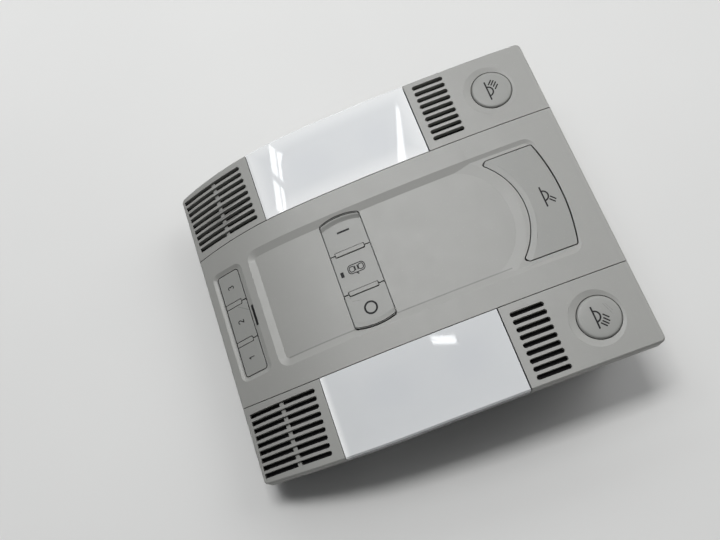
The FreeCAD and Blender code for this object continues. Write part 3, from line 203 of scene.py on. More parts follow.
class FinishSettings(bpy.types.PropertyGroup):
    """Colours and surface grain of the mouldings and fittings"""
    face: colour("Face", "Warm grey of the face mouldings", (0.286, 0.286, 0.272))
    key: colour("Keys", "Slightly deeper grey of the keys and buttons", (0.277, 0.279, 0.266))
    frame: colour("Frames", "Black of the carrier and the switches", (0.028, 0.027, 0.027))
    felt: colour("Felt", "Black of the felt behind the slots", (0.016, 0.015, 0.016))
    divider: colour("Dividers", "Grey of the bars between the keys", (0.285, 0.286, 0.272))
    housing: colour("Housing", "Grey of the rear housing", (0.11, 0.11, 0.108))
    opal: colour("Opal", "White of the lamp lenses", (0.618, 0.632, 0.643))
    # Painted light: the glow at a lens border, and on the next line the highlight along its front edge
    opal_edge_glow: colour("Opal edge", "Lighter white where the lens edge gathers light", (0.725, 0.735, 0.738))
    opal_front_highlight: colour("Opal front", "Bright white along the front edge of a lens", (0.92, 0.925, 0.925))
    # Painted shadow of the bulbs behind a lens
    opal_shade: colour("Opal shade", "Cooler white over the lamps behind the lens", (0.585, 0.600, 0.622))
    print: colour("Print", "Dark grey of the printed marks", (0.018, 0.017, 0.018))
    window: colour("Windows", "Smoked black of the indicator windows", (0.010, 0.010, 0.011))
    board: colour("Circuit boards", "Green of the solder mask", (0.02, 0.13, 0.05))
    trace: colour("Traces", "Lighter green over the copper tracks", (0.05, 0.24, 0.10))
    nylon: colour("Nylon", "Milky white of the switch plungers", (0.68, 0.67, 0.63))
    reflector: colour("Reflectors", "White of the lamp reflectors", (0.80, 0.80, 0.78))
    spring: colour("Spring steel", "Grey of the clips", (0.56, 0.56, 0.55))
    zinc: colour("Zinc", "Bluish grey of the plated screws", (0.50, 0.51, 0.53))
    brass: colour("Brass", "Yellow of the contact pins", (0.70, 0.56, 0.28))
    dust: colour("Dust", "Pale dust in the grain", (0.50, 0.49, 0.46))
    # Painted shade that darkens the narrow gaps between parts
    gap_shade: colour("Painted gap shade", "Dark film that gathers in the narrow gaps", (0.012, 0.011, 0.011))
    grain: length("Grain", "Size of the moulded grain", 0.00035)
    grain_depth: length("Grain depth", "Depth of the moulded grain", 0.000012)
    edge: length("Edge radius", "Radius that the moulded edges catch light with", 0.00025)
    # How far the painted shade in the narrow gaps reaches
    gap: length("Gap reach", "Width of gap that counts as narrow for the grime", 0.0009)


class MarkSettings(bpy.types.PropertyGroup):
    """Sizes of the printed marks"""
    stroke: length("Stroke", "Line width of the printed marks", 0.00068)
    fine_stroke: length("Fine stroke", "Line width of the door symbol and the numbers", 0.0004)
    digit: length("Digit height", "Height of the printed numbers", 0.0026)
    bar: length("On bar", "Length of the on key's bar", 0.0057)
    ring: length("Off ring", "Outer diameter of the off key's ring", 0.0060)
    lift: length("Lift", "Height of the print above its key", 0.000015)
    thick: length("Thickness", "Thickness of the print", 0.00002)


class FormSettings(bpy.types.PropertyGroup):
    """Soft forms on the keys and buttons, and the felt behind the slots"""
    ramp: length("Ramp length", "Length of the slope at the ends of the switch keys", 0.0025)
    crown: length("Crown", "Rise of the round buttons towards their middle", 0.00028)
    crown_radius: length("Crown radius", "Radius of the crowned part of a round button", 0.0086)
    felt: length("Felt", "Thickness of the felt behind the slots", 0.0005)


class StageSettings(bpy.types.PropertyGroup):
    """Floor, lamps and camera"""
    floor: colour("Floor", "Pale grey of the floor", (0.72, 0.72, 0.71))
    camera_place: spot("Camera", "Place of the camera", (-0.01584, -0.10652, 0.34429))
    camera_aim: spot("Aim", "Point that the camera looks at", (-0.01725, -0.00137, 0.038))
    camera_roll: FloatProperty(name="Roll", description="Turn of the camera about its view", subtype="ANGLE",
                               default=math.radians(-21.12))
    camera_lens: number("Lens", "Focal length on a 36 mm sensor", 37.89)
    key_place: spot("Key lamp", "Place of the main soft lamp", (-0.05, 0.36, 1.07))
    key_power: number("Key power", "Power of the main soft lamp in watts", 6.5)
    side_place: spot("Side lamp", "Place of the low soft lamp at the rear end", (1.6, 0.71, 1.0))
    side_power: number("Side power", "Power of the low soft lamp in watts", 18.0)
    sky: number("Sky", "Strength of the even light from all round", 0.13)
    window_height: length("Window height", "Height of the window panes that the lenses mirror", 1.4)
    window_glow: number("Window glow", "Brightness of the window panes", 12.0)
    card_glow: number("Card glow", "Brightness of the pale cards behind them", 2.0)


# Shader helpers

def feed(tree, socket, value):
    """Link a socket to another one, or set its plain value."""
    if isinstance(value, bpy.types.NodeSocket):
        tree.links.new(value, socket)
    else:
        socket.default_value = value


def add(tree, kind, inputs=None, **settings):
    """A node with its settings, and its inputs set or linked."""
    made = tree.nodes.new(kind)
    for name, value in settings.items():
        setattr(made, name, value)
    for key, value in (inputs or {}).items():
        feed(tree, made.inputs[key], value)
    return made


def object_place(tree):
    """Object coordinates, which all pieces share because they stand at the origin."""
    return add(tree, "ShaderNodeTexCoord").outputs["Object"]


def maths(tree, operation, *values):
    """The result of one Math node."""
    return add(tree, "ShaderNodeMath", dict(enumerate(values)), operation=operation).outputs[0]


def vector_maths(tree, operation, *values):
    """The vector that one Vector Math node gives."""
    return add(tree, "ShaderNodeVectorMath", dict(enumerate(values)), operation=operation).outputs["Vector"]


def vector_measure(tree, operation, *values):
    """The number that one Vector Math node gives."""
    return add(tree, "ShaderNodeVectorMath", dict(enumerate(values)), operation=operation).outputs["Value"]


def remap(tree, value, span, to=(0.0, 1.0), smooth=False):
    """A value carried from one span to another."""
    return add(tree, "ShaderNodeMapRange", {
        "Value": value, "From Min": span[0], "From Max": span[1], "To Min": to[0], "To Max": to[1]},
        interpolation_type="SMOOTHSTEP" if smooth else "LINEAR").outputs["Result"]


def noise(tree, place, scale, detail=2.0, roughness=0.5):
    """The value of a noise texture."""
    return add(tree, "ShaderNodeTexNoise", {
        "Vector": place, "Scale": scale, "Detail": detail, "Roughness": roughness}).outputs["Fac"]


def mix_vector(tree, share, first, second):
    """A vector between two."""
    return add(tree, "ShaderNodeMix", {0: share, 4: first, 5: second}, data_type="VECTOR").outputs[1]


def mix_colour(tree, share, first, second, blend="MIX"):
    """Two colours mixed."""
    return add(tree, "ShaderNodeMix", {0: share, 6: first, 7: second}, data_type="RGBA",
               blend_type=blend).outputs[2]


def tint(tree, base, mask, share, second):
    """A colour with a share of a second one where a mask says so."""
    return mix_colour(tree, maths(tree, "MULTIPLY", mask, share), base, second)


def group(name, inputs, values=(), vectors=()):
    """An empty shader node group: its tree, its inputs to read and its outputs to feed.

    inputs holds each input's starting value; values and vectors name the outputs of either kind.
    """
    made = bpy.data.node_groups.new(name, "ShaderNodeTree")
    for label, default in inputs.items():
        kind = "NodeSocketVector" if isinstance(default, tuple) else "NodeSocketFloat"
        made.interface.new_socket(label, in_out="INPUT", socket_type=kind).default_value = default
    for kind, labels in (("NodeSocketFloat", values), ("NodeSocketVector", vectors)):
        for label in labels:
            made.interface.new_socket(label, in_out="OUTPUT", socket_type=kind)
    return made, made.nodes.new("NodeGroupInput").outputs, made.nodes.new("NodeGroupOutput").inputs


def placed(tree, name, **inputs):
    """The outputs of a node group placed in a material with its own values."""
    made = add(tree, "ShaderNodeGroup", node_tree=bpy.data.node_groups[name])
    for key, value in inputs.items():
        feed(tree, made.inputs[key.capitalize()], value)
    return made.outputs


# Effects that several materials share

def build_groups():
    """All shared effects."""
    build_grain_group()
    build_dust_group()
    build_scratch_group()
    build_edge_group()
    build_border_group()
    build_face_normal_group()
    build_crevice_group()


def build_grain_group():
    """Fine moulded grain: its height, a slow change of tone and a change of gloss."""
    tree, start, end = group("Moulded grain", {"Size": 0.0004, "Mottle": 0.03}, ["Height", "Tone", "Gloss"])
    place = object_place(tree)
    scale = maths(tree, "DIVIDE", 1.0, start["Size"])
    fine = noise(tree, place, scale, detail=3.0, roughness=0.6)
    slow = noise(tree, place, scale=45.0, detail=3.0)
    swing, speckle = [maths(tree, "MULTIPLY", maths(tree, "SUBTRACT", value, 0.5), start["Mottle"])
                      for value in (slow, fine)]
    gloss = noise(tree, place, scale=160.0, detail=4.0)
    tree.links.new(fine, end["Height"])
    tree.links.new(maths(tree, "ADD", 1.0, maths(tree, "ADD", swing, speckle)), end["Tone"])
    tree.links.new(remap(tree, gloss, (0.3, 0.7), (-0.025, 0.025)), end["Gloss"])


def build_dust_group():
    """Sparse pale specks and soft smears of handling."""
    tree, start, end = group("Handling dust", {"Amount": 0.3}, ["Mask"])
    place = object_place(tree)
    specks = noise(tree, place, scale=1300.0, detail=1.0)
    smears = noise(tree, place, scale=60.0, detail=5.0, roughness=0.65)
    both = maths(tree, "MAXIMUM", remap(tree, specks, (0.70, 0.76)),
                 remap(tree, smears, (0.52, 0.75), (0.0, 0.45)))
    tree.links.new(maths(tree, "MULTIPLY", both, start["Amount"]), end["Mask"])


def build_scratch_group():
    """One fine broken scratch between two places in plan."""
    tree, start, end = group("Scratch", {
        "Start": (0, 0, 0), "Stop": (0.01, 0, 0), "Width": 0.0001, "Breaks": 0.8}, ["Mask"])
    place = object_place(tree)
    arm = vector_maths(tree, "SUBTRACT", vector_maths(tree, "MULTIPLY", place, (1, 1, 0)), start["Start"])
    run = vector_maths(tree, "SUBTRACT", start["Stop"], start["Start"])
    along = maths(tree, "DIVIDE", vector_measure(tree, "DOT_PRODUCT", arm, run),
                  vector_measure(tree, "DOT_PRODUCT", run, run))
    share = add(tree, "ShaderNodeClamp", {"Value": along}).outputs[0]
    nearest = add(tree, "ShaderNodeVectorMath", {0: run, "Scale": share}, operation="SCALE").outputs[0]
    away = vector_measure(tree, "LENGTH", vector_maths(tree, "SUBTRACT", arm, nearest))
    line = remap(tree, away, (0.0, start["Width"]), (1.0, 0.0))
    worn = remap(tree, noise(tree, place, scale=1500.0, detail=2.0), (0.35, 0.6), (1.0, 0.0))
    kept = maths(tree, "SUBTRACT", 1.0, maths(tree, "MULTIPLY", worn, start["Breaks"]))
    tree.links.new(maths(tree, "MULTIPLY", line, kept), end["Mask"])


def build_edge_group():
    """Edges that handling has polished a little lighter, and their rounded normal."""
    tree, start, end = group("Edge wear", {"Radius": 0.0003}, ["Mask"], ["Normal"])
    soft = add(tree, "ShaderNodeBevel", {"Radius": start["Radius"]}, samples=6).outputs[0]
    hard = add(tree, "ShaderNodeNewGeometry").outputs["Normal"]
    bend = remap(tree, vector_measure(tree, "DOT_PRODUCT", soft, hard), (1.0, 0.8))
    worn = remap(tree, noise(tree, object_place(tree), scale=300.0, detail=4.0), (0.35, 0.65), (0.35, 1.0))
    tree.links.new(maths(tree, "MULTIPLY", bend, worn), end["Mask"])
    tree.links.new(soft, end["Normal"])


def build_border_group():
    """How close a place is to the border of a box in plan: 1 at the border, 0 a given width inside."""
    tree, start, end = group("Border glow", {"Centre": (0, 0, 0), "Half": (0.04, 0.02, 1), "Width": 0.006},
                             ["Mask"])
    offset = vector_maths(tree, "SUBTRACT", object_place(tree), start["Centre"])
    room = vector_maths(tree, "SUBTRACT", start["Half"], vector_maths(tree, "ABSOLUTE", offset))
    sides = add(tree, "ShaderNodeSeparateXYZ", {0: room}).outputs
    nearest = maths(tree, "MINIMUM", sides["X"], sides["Y"])
    tree.links.new(remap(tree, nearest, (0.0, start["Width"]), (1.0, 0.0), smooth=True), end["Mask"])


def build_face_normal_group():
    """The true normal of the crowned face where a piece follows it, and the mesh's own elsewhere."""
    tree, _, end = group("Face normal", {}, vectors=["Normal"])
    place = object_place(tree)
    ways = []
    for nose in (False, True):
        _, centre_x, centre_z = face_arc(nose)
        arm = vector_maths(tree, "SUBTRACT", place, (centre_x, 0, centre_z))
        ways.append(vector_maths(tree, "NORMALIZE", vector_maths(tree, "MULTIPLY", arm, (1, 0, 1))))
    along = add(tree, "ShaderNodeSeparateXYZ", {0: place}).outputs["X"]
    arc_way = mix_vector(tree, maths(tree, "LESS_THAN", along, NOSE_START_X), *ways)
    true_way = add(tree, "ShaderNodeVectorTransform", {0: arc_way}, vector_type="NORMAL",
                   convert_from="OBJECT", convert_to="WORLD").outputs[0]
    mesh_way = add(tree, "ShaderNodeNewGeometry").outputs["Normal"]
    follows = maths(tree, "GREATER_THAN", vector_measure(tree, "DOT_PRODUCT", true_way, mesh_way), 0.99)
    tree.links.new(mix_vector(tree, follows, mesh_way, true_way), end["Normal"])


def build_crevice_group():
    """Mask for painted shade where a surface lies hidden in a narrow gap: 1 deep inside, 0 in the open."""
    tree, start, end = group("Crevice", {"Reach": 0.001}, ["Mask"])
    free = add(tree, "ShaderNodeAmbientOcclusion", {"Distance": start["Reach"]}, samples=8).outputs["AO"]
    tree.links.new(remap(tree, free, (0.3, 0.7), (1.0, 0.0), smooth=True), end["Mask"])


# Materials

def dress(tree, shader, **sockets):
    """Set or link a shader's sockets."""
    for key, value in sockets.items():
        feed(tree, shader.inputs[key.replace("_", " ").title().replace("Ior", "IOR")], value)


def blank(name, **sockets):
    """A new material, its tree and its Principled shader, with its plain values set."""
    made = bpy.data.materials.new(name)
    made.use_nodes = True
    shader = made.node_tree.nodes["Principled BSDF"]
    dress(made.node_tree, shader, **sockets)
    return made, made.node_tree, shader


def opaque(shade, factor=1.0):
    """A colour with full alpha, made darker or lighter by a factor."""
    return (*(min(1.0, factor * part) for part in shade), 1.0)


def bump(tree, height, depth, normal=None):
    """A Bump node's normal."""
    inputs = {"Height": height, "Distance": depth, "Strength": 1.0}
    if normal is not None:
        inputs["Normal"] = normal
    return add(tree, "ShaderNodeBump", inputs).outputs["Normal"]


def moulded(name, shade, roughness, dust=0.12, mottle=0.05, scratches=(), gloss=0.5, gaps=0.94):
    """Grained plastic with dust, worn edges, painted shade in the narrow gaps, and any scratches or painted
    shade lines.

    Each scratch or painted shade line is (start, stop, width, breaks), and gaps is how dark the painted
    shade in the narrow gaps is.
    """
    finish = bpy.context.scene.overhead_finish
    made, tree, shader = blank(name, specular_ior_level=gloss)
    grain = placed(tree, "Moulded grain", size=finish.grain, mottle=mottle)
    edge = placed(tree, "Edge wear", radius=finish.edge)
    tone = mix_colour(tree, 1.0, opaque(shade), grain["Tone"], "MULTIPLY")
    tone = tint(tree, tone, edge["Mask"], EDGE_SHARE, opaque(shade, EDGE_LIGHT))
    tone = mix_colour(tree, placed(tree, "Handling dust", amount=dust)["Mask"], tone, opaque(finish.dust))
    # Scratches, and any painted shade line, drawn darker
    for start, stop, width, breaks in scratches:
        mask = placed(tree, "Scratch", start=start, stop=stop, width=width, breaks=breaks)["Mask"]
        tone = tint(tree, tone, mask, SCRATCH_SHARE, opaque(shade, SCRATCH_DARK))
    # Painted shade in the narrow gaps
    hidden = placed(tree, "Crevice", reach=finish.gap)["Mask"]
    dress(tree, shader, base_color=tint(tree, tone, hidden, gaps, opaque(finish.gap_shade)),
          roughness=maths(tree, "ADD", grain["Gloss"], roughness),
          normal=bump(tree, grain["Height"], finish.grain_depth, edge["Normal"]))
    return made


def opal(name, node, lamps, edge_glow_share, front_highlight_share):
    """Glossy opal acrylic with painted light: a glow towards its border, a highlight along its front edge,
    and cool shadows of the lamps behind it.

    Each lamp is (node, reach), with its reach along and across the unit.
    """
    finish = bpy.context.scene.overhead_finish
    made, tree, shader = blank(name, ior=ACRYLIC_IOR)
    low, high, middle = plan_box(node)
    half = (high - low) / 2
    # Painted glow towards the border, and painted highlight along the front edge
    border = placed(tree, "Border glow", centre=middle, half=(half.x, half.y, 1), width=EDGE_GLOW_WIDTH)["Mask"]
    glow = tint(tree, opaque(finish.opal), border, edge_glow_share, opaque(finish.opal_edge_glow))
    rear = middle + Vector((half.x, 0, 0))
    front = placed(tree, "Border glow", centre=rear, half=(2 * half.x, 1, 1), width=FRONT_HIGHLIGHT_WIDTH)["Mask"]
    glow = tint(tree, glow, front, front_highlight_share, opaque(finish.opal_front_highlight))
    place = object_place(tree)
    # Painted shadows of the bulbs behind the lens
    for lamp, reach in lamps:
        offset = vector_maths(tree, "SUBTRACT", place, plan_box(lamp)[2])
        arm = vector_maths(tree, "MULTIPLY", offset, (1 / reach[0], 1 / reach[1], 0))
        over = remap(tree, vector_measure(tree, "LENGTH", arm), (0.2, 1.0), (0.5, 0.0), smooth=True)
        glow = mix_colour(tree, over, glow, opaque(finish.opal_shade))
    grain = placed(tree, "Moulded grain", size=4.0 * MM, mottle=0.012)
    toned = mix_colour(tree, 1.0, glow, grain["Tone"], "MULTIPLY")
    dusty = mix_colour(tree, placed(tree, "Handling dust", amount=0.06)["Mask"], toned, opaque(finish.dust))
    uneven = maths(tree, "MULTIPLY", grain["Gloss"], 0.2)
    face_normal = placed(tree, "Face normal")["Normal"]
    dress(tree, shader, base_color=dusty, roughness=maths(tree, "ADD", uneven, ACRYLIC_ROUGHNESS),
          normal=bump(tree, grain["Height"], 0.0004 * MM, face_normal))
    return made


def print_ink(name, shade):
    """Dark pad-printed ink, slightly worn."""
    made, tree, shader = blank(name, specular_ior_level=0.15)
    place = object_place(tree)
    worn = remap(tree, noise(tree, place, scale=2600.0, detail=3.0), (0.55, 0.8), (0.0, 0.35))
    matt = remap(tree, noise(tree, place, scale=900.0, detail=2.0), (0.3, 0.7), (0.45, 0.6))
    dress(tree, shader, base_color=mix_colour(tree, worn, opaque(shade), opaque(shade, 4)), roughness=matt)
    return made


def metal(name, shade, roughness, streak):
    """Rolled or plated metal with fine streaks along one axis."""
    made, tree, shader = blank(name, metallic=1.0)
    place = add(tree, "ShaderNodeMapping", {"Vector": object_place(tree), "Scale": streak}).outputs[0]
    lines = noise(tree, place, scale=900.0, detail=3.0)
    dark = remap(tree, lines, (0.3, 0.7), (0.0, 0.3))
    dress(tree, shader, base_color=mix_colour(tree, dark, opaque(shade), opaque(shade, 0.7)),
          roughness=remap(tree, lines, (0.3, 0.7), (roughness - 0.08, roughness + 0.08)),
          normal=bump(tree, lines, 0.004 * MM))
    return made


def circuit(name, shade, trace):
    """Solder mask with copper tracks showing through."""
    made, tree, shader = blank(name, roughness=0.28)
    place = object_place(tree)
    bricks = add(tree, "ShaderNodeTexBrick", {
        "Vector": place, "Scale": 220.0, "Mortar Size": 0.09, "Mortar Smooth": 0.1, "Bias": 0.0,
        "Brick Width": 1.9, "Row Height": 0.55, "Color1": (0, 0, 0, 1), "Color2": (0, 0, 0, 1),
        "Mortar": (1, 1, 1, 1)})
    patches = remap(tree, noise(tree, place, scale=60.0, detail=1.0), (0.45, 0.5))
    mask = maths(tree, "MULTIPLY", bricks.outputs["Fac"], patches)
    dress(tree, shader, base_color=mix_colour(tree, mask, opaque(shade), opaque(trace)),
          normal=bump(tree, mask, 0.03 * MM))
    return made


def clear_glass(name):
    """Bulb glass with a faint smoky haze."""
    made, tree, shader = blank(name, transmission_weight=1.0, ior=GLASS_IOR)
    haze = remap(tree, noise(tree, object_place(tree), scale=120.0, detail=2.0), (0.4, 0.8), (0.0, 0.25))
    dress(tree, shader, base_color=mix_colour(tree, haze, (0.97, 0.97, 0.96, 1), (0.75, 0.74, 0.72, 1)),
          roughness=remap(tree, haze, (0.0, 0.25), (0.02, 0.08)))
    return made


def finish_node(name, material):
    """Give a CAD node its finish."""
    NODES[name].data.materials.clear()
    NODES[name].data.materials.append(material)


# Places on the unit

def plan_box(node):
    """Lowest and highest corners, and middle, of a node."""
    low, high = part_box(node)
    return low, high, (low + high) / 2


def face_arc(nose):
    """Radius and centre, along the unit and up, of the face's long arc or of the tighter one at the nose."""
    centre_x, centre_z = FACE_CROWN_X, CAD_BOX[1][2] - FACE_RADIUS
    if not nose:
        return FACE_RADIUS, centre_x, centre_z
    lean = math.asin((FACE_CROWN_X - NOSE_START_X) / FACE_RADIUS)
    nearer = FACE_RADIUS - NOSE_RADIUS
    return NOSE_RADIUS, centre_x - nearer * math.sin(lean), centre_z + nearer * math.cos(lean)


def face_height(x, depth=0.0):
    """Height of the crowned face, or of what lies a depth below it, at a place along the unit."""
    radius, centre_x, centre_z = face_arc(x < NOSE_START_X)
    return centre_z + math.sqrt((radius - depth) ** 2 - (x - centre_x) ** 2)


def put(name, data):
    """A new object in the scene."""
    made = bpy.data.objects.new(name, data)
    bpy.context.scene.collection.objects.link(made)
    return made


# Printed marks, drawn flat in plan and then laid on their keys

def arc(centre, radius, start, stop, steps=24):
    """Points along an arc between two angles in degrees."""
    turns = [math.radians(start + (stop - start) * step / steps) for step in range(steps + 1)]
    return [(centre[0] + radius * math.cos(turn), centre[1] + radius * math.sin(turn)) for turn in turns]


def resampled(points, gap):
    """The same line with a point at least every gap."""
    made = [Vector(points[0])]
    for first, second in zip(points, points[1:]):
        first, second = Vector(first), Vector(second)
        steps = max(1, math.ceil((second - first).length / gap))
        made += [first.lerp(second, step / steps) for step in range(1, steps + 1)]
    return made


def draw_stroke(flat, points, width):
    """A flat ribbon of faces along a line in plan; a line that ends where it starts is closed."""
    line = resampled(points, width)
    closed = (line[0] - line[-1]).length < width / 100
    if closed:
        line.pop()
    count = len(line)
    rails = []
    for index, point in enumerate(line):
        after = line[(index + 1) % count] if closed or index + 1 < count else point
        before = line[index - 1] if closed or index else point
        run = (after - before).normalized()
        side = Vector((-run.y, run.x)) * width / 2
        rails.append([flat.verts.new((*(point + offset), 0)) for offset in (side, -side)])
    for index in range(count if closed else count - 1):
        left, right = rails[index], rails[(index + 1) % count]
        flat.faces.new((left[0], left[1], right[1], right[0]))


def laying_tree():
    """Geometry nodes that drop a flat drawing on a surface and give it thickness."""
    tree = bpy.data.node_groups.new("Lay print", "GeometryNodeTree")
    for label, kind in (("Drawing", "NodeSocketGeometry"), ("Carrier", "NodeSocketObject"),
                        ("Lift", "NodeSocketFloat"), ("Thickness", "NodeSocketFloat"),
                        ("Ink", "NodeSocketMaterial")):
        tree.interface.new_socket(label, in_out="INPUT", socket_type=kind)
    tree.interface.new_socket("Print", in_out="OUTPUT", socket_type="NodeSocketGeometry")
    start = tree.nodes.new("NodeGroupInput").outputs
    end = tree.nodes.new("NodeGroupOutput")
    carrier = add(tree, "GeometryNodeObjectInfo", {"Object": start["Carrier"]}).outputs["Geometry"]
    above = vector_maths(tree, "ADD", add(tree, "GeometryNodeInputPosition").outputs[0], (0, 0, 1))
    ray = add(tree, "GeometryNodeRaycast", {
        "Target Geometry": carrier, "Source Position": above, "Ray Direction": (0, 0, -1),
        "Ray Length": 2.0})
    lift = add(tree, "ShaderNodeCombineXYZ", {"Z": start["Lift"]}).outputs[0]
    seat = vector_maths(tree, "ADD", ray.outputs["Hit Position"], lift)
    laid = add(tree, "GeometryNodeSetPosition", {"Geometry": start["Drawing"], "Position": seat}).outputs[0]
    raised = add(tree, "GeometryNodeExtrudeMesh", {
        "Mesh": laid, "Offset": (0, 0, 1), "Offset Scale": start["Thickness"],
        "Individual": False}).outputs[0]
    under = add(tree, "GeometryNodeFlipFaces", {"Mesh": laid}).outputs[0]
    joined = tree.nodes.new("GeometryNodeJoinGeometry")
    for part in (raised, under):
        tree.links.new(part, joined.inputs[0])
    closed = add(tree, "GeometryNodeMergeByDistance", {
        "Geometry": joined.outputs[0], "Distance": 1e-6}).outputs[0]
    real = add(tree, "GeometryNodeRealizeInstances", {"Geometry": closed}).outputs[0]
    inked = add(tree, "GeometryNodeSetMaterial", {"Geometry": real, "Material": start["Ink"]}).outputs[0]
    tree.links.new(inked, end.inputs[0])
    return tree


def lay_mark(name, strokes, carrier, body, ink):
    """Draw the strokes, each (points, width), lay them on a carrier and let them ride on its body."""
    marks = bpy.context.scene.overhead_marks
    flat = bmesh.new()
    for points, width in strokes:
        draw_stroke(flat, points, width)
    drawing = bpy.data.meshes.new(name)
    flat.normal_update()
    flat.to_mesh(drawing)
    flat.free()
    mark = put(name, drawing)
    tree = bpy.data.node_groups.get("Lay print") or laying_tree()
    laid = mark.modifiers.new("Lay print", "NODES")
    laid.node_group = tree
    keys = {item.name: item.identifier for item in tree.interface.items_tree if item.in_out == "INPUT"}
    laid[keys["Carrier"]] = NODES.get(carrier) or bpy.data.objects[carrier]
    laid[keys["Lift"]] = marks.lift
    laid[keys["Thickness"]] = marks.thick
    laid[keys["Ink"]] = ink
    graph = bpy.context.evaluated_depsgraph_get()
    baked = bpy.data.meshes.new_from_object(mark.evaluated_get(graph))
    mark.modifiers.clear()
    mark.data = baked
    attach(mark, body)


def upright(strokes, place):
    """Strokes drawn with x to the right and y up, turned to be read from the unit's rear end."""
    return [([(place[0] - y, place[1] + x) for x, y in points], width) for points, width in strokes]


def digit_strokes(digit, height, width):
    """A plain number, drawn about its middle."""
    half = height / 2
    bowl = height * 0.27
    if digit == 1:
        return [([(-0.2 * height, half * 0.45), (0.08 * height, half), (0.08 * height, -half)], width)]
    if digit == 2:
        top = arc((0, half - bowl), bowl, 165, -35)
        return [(top + [(-bowl, -half), (bowl * 1.1, -half)], width)]
    upper = arc((0, half - bowl * 0.9), bowl * 0.9, 150, -80)
    lower = arc((0, bowl - half), bowl, 80, -150)
    return [(upper, width), (lower, width)]


def lamp_strokes(place, side, turns, reach, width):
    """A lamp on a line, with rays that start round it at the given turns and lean one way.

    place is the middle of the line, side the way in which the rays point across the unit, and reach how
    far from the lamp's middle the rays start.
    """
    ray = Vector((RAY_X, RAY_Y * side))
    panel = [(place[0], place[1] - LAMP_SPAN), (place[0], place[1] + LAMP_SPAN)]
    middle = (place[0], place[1] - LAMP_SHIFT * side)
    strokes = [(panel, width), (arc(middle, LAMP_BULGE, -90, 90), width)]
    for turn in turns:
        angle = math.radians(turn) * side
        root = Vector(middle) + Vector((math.cos(angle), math.sin(angle))) * reach
        strokes.append(([root, root + ray], width * RAY_STROKE))
    return strokes


def hoop(x, y, half_x, half_y, corner):
    """A rounded rectangle about a place."""
    left, right = x - half_x + corner, x + half_x - corner
    low, high = y - half_y + corner, y + half_y - corner
    points = []
    for place, turn in (((right, high), 0), ((left, high), 90), ((left, low), 180), ((right, low), 270)):
        points += arc(place, corner, turn, turn + 90, 6)
    return points + [(x + half_x, high)]


def car_strokes(place, width):
    """A small car seen from above with a door open."""
    x, y = place
    strokes = [(hoop(x, y, 3.8 * MM, 1.95 * MM, 1.5 * MM), width)]
    for middle in (-2.05 * MM, 2.05 * MM):
        strokes.append((hoop(x + middle, y, 1.1 * MM, 1.2 * MM, 0.8 * MM), width))
    for post in (-0.55 * MM, 0.55 * MM):
        strokes.append(([(x + post, y - 1.1 * MM), (x + post, y + 1.1 * MM)], width))
    door = [(x - 0.5 * MM, y - 1.95 * MM), (x + 0.35 * MM, y - 3.0 * MM)]
    strokes.append((door, width * 1.3))
    return strokes


# Soft forms on the keys and buttons, and the felt behind the slots

def swept(name, loops, wrap, body, material):
    """A closed form through like loops of points, joined end to start or else capped."""
    form = bmesh.new()
    rings = [[form.verts.new(point) for point in loop] for loop in loops]
    pairs = list(zip(rings, rings[1:]))
    if wrap:
        pairs.append((rings[-1], rings[0]))
    else:
        form.faces.new(rings[0][::-1])
        form.faces.new(rings[-1])
    for first, second in pairs:
        for index in range(len(first)):
            after = (index + 1) % len(first)
            form.faces.new((first[index], first[after], second[after], second[index]))
    bmesh.ops.remove_doubles(form, verts=form.verts, dist=1e-7)
    bmesh.ops.recalc_face_normals(form, faces=form.faces)
    shape = bpy.data.meshes.new(name)
    form.to_mesh(shape)
    form.free()
    shape.shade_smooth()
    shape.set_sharp_from_angle(angle=math.radians(35))
    shape.materials.append(material)
    piece = put(name, shape)
    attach(piece, body)


def end_ramp(node, way, run, material):
    """The slope that rises to the rim at the outer end of a switch key; way is the side of the unit."""
    middle = plan_box("key_door")[2].x
    columns, rows = 32, 10
    loops = []
    for column in range(columns + 1):
        across = KEY_ROW_HALF * (2 * column / columns - 1)
        stop = RIM_CENTRE_Y + math.sqrt(RIM_RADIUS ** 2 - across ** 2)
        past = abs(across) - RIM_CORNER_X
        if past > 0:
            stop = min(stop, RIM_CORNER_Y + math.sqrt(max(0.0, RIM_CORNER ** 2 - past ** 2)))
        x = middle + across
        low, high = face_height(x) - KEY_SINK, face_height(x) - KEY_RIM_SINK
        loop = []
        for row in range(rows + 1):
            share = row / rows
            rise = (high - low) * (1 - math.cos(math.pi * share)) / 2
            loop.append((x, way * (stop - run * (1 - share)), low + rise - RAMP_SEAT * (1 - share)))
        foot = low - 2 * RAMP_SEAT
        loops.append(loop + [(x, way * stop, foot), (x, way * (stop - run), foot)])
    swept(f"{node}_ramp", loops, False, node, material)


def button_crown(node, radius, rise, material):
    """The gently domed top of a round button."""
    _, high, middle = plan_box(node)
    turns, rings = 72, 10
    profile = [(radius * ring / rings, rise * (1 - (ring / rings) ** 2)) for ring in range(rings + 1)]
    profile += [(radius, -CROWN_SEAT), (0.0, -CROWN_SEAT)]
    loops = []
    for turn in range(turns):
        angle = math.tau * turn / turns
        loops.append([(middle.x + out * math.cos(angle), middle.y + out * math.sin(angle), high.z + up)
                      for out, up in profile])
    swept(f"{node}_crown", loops, True, node, material)


def grille_felt(name, node, front, rear, thick, material):
    """The felt behind the slots of a corner moulding, from front to rear under its curved face."""
    low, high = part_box(node)
    left, right = low.y + FELT_SIDE, high.y - FELT_SIDE
    seat = FACE_WALL + FELT_GAP
    steps = 24
    loops = []
    for step in range(steps + 1):
        x = front + (rear - front) * step / steps
        top, bottom = face_height(x, seat), face_height(x, seat + thick)
        loops.append([(x, left, top), (x, right, top), (x, right, bottom), (x, left, bottom)])
    swept(name, loops, False, "housing", material)


# Stage

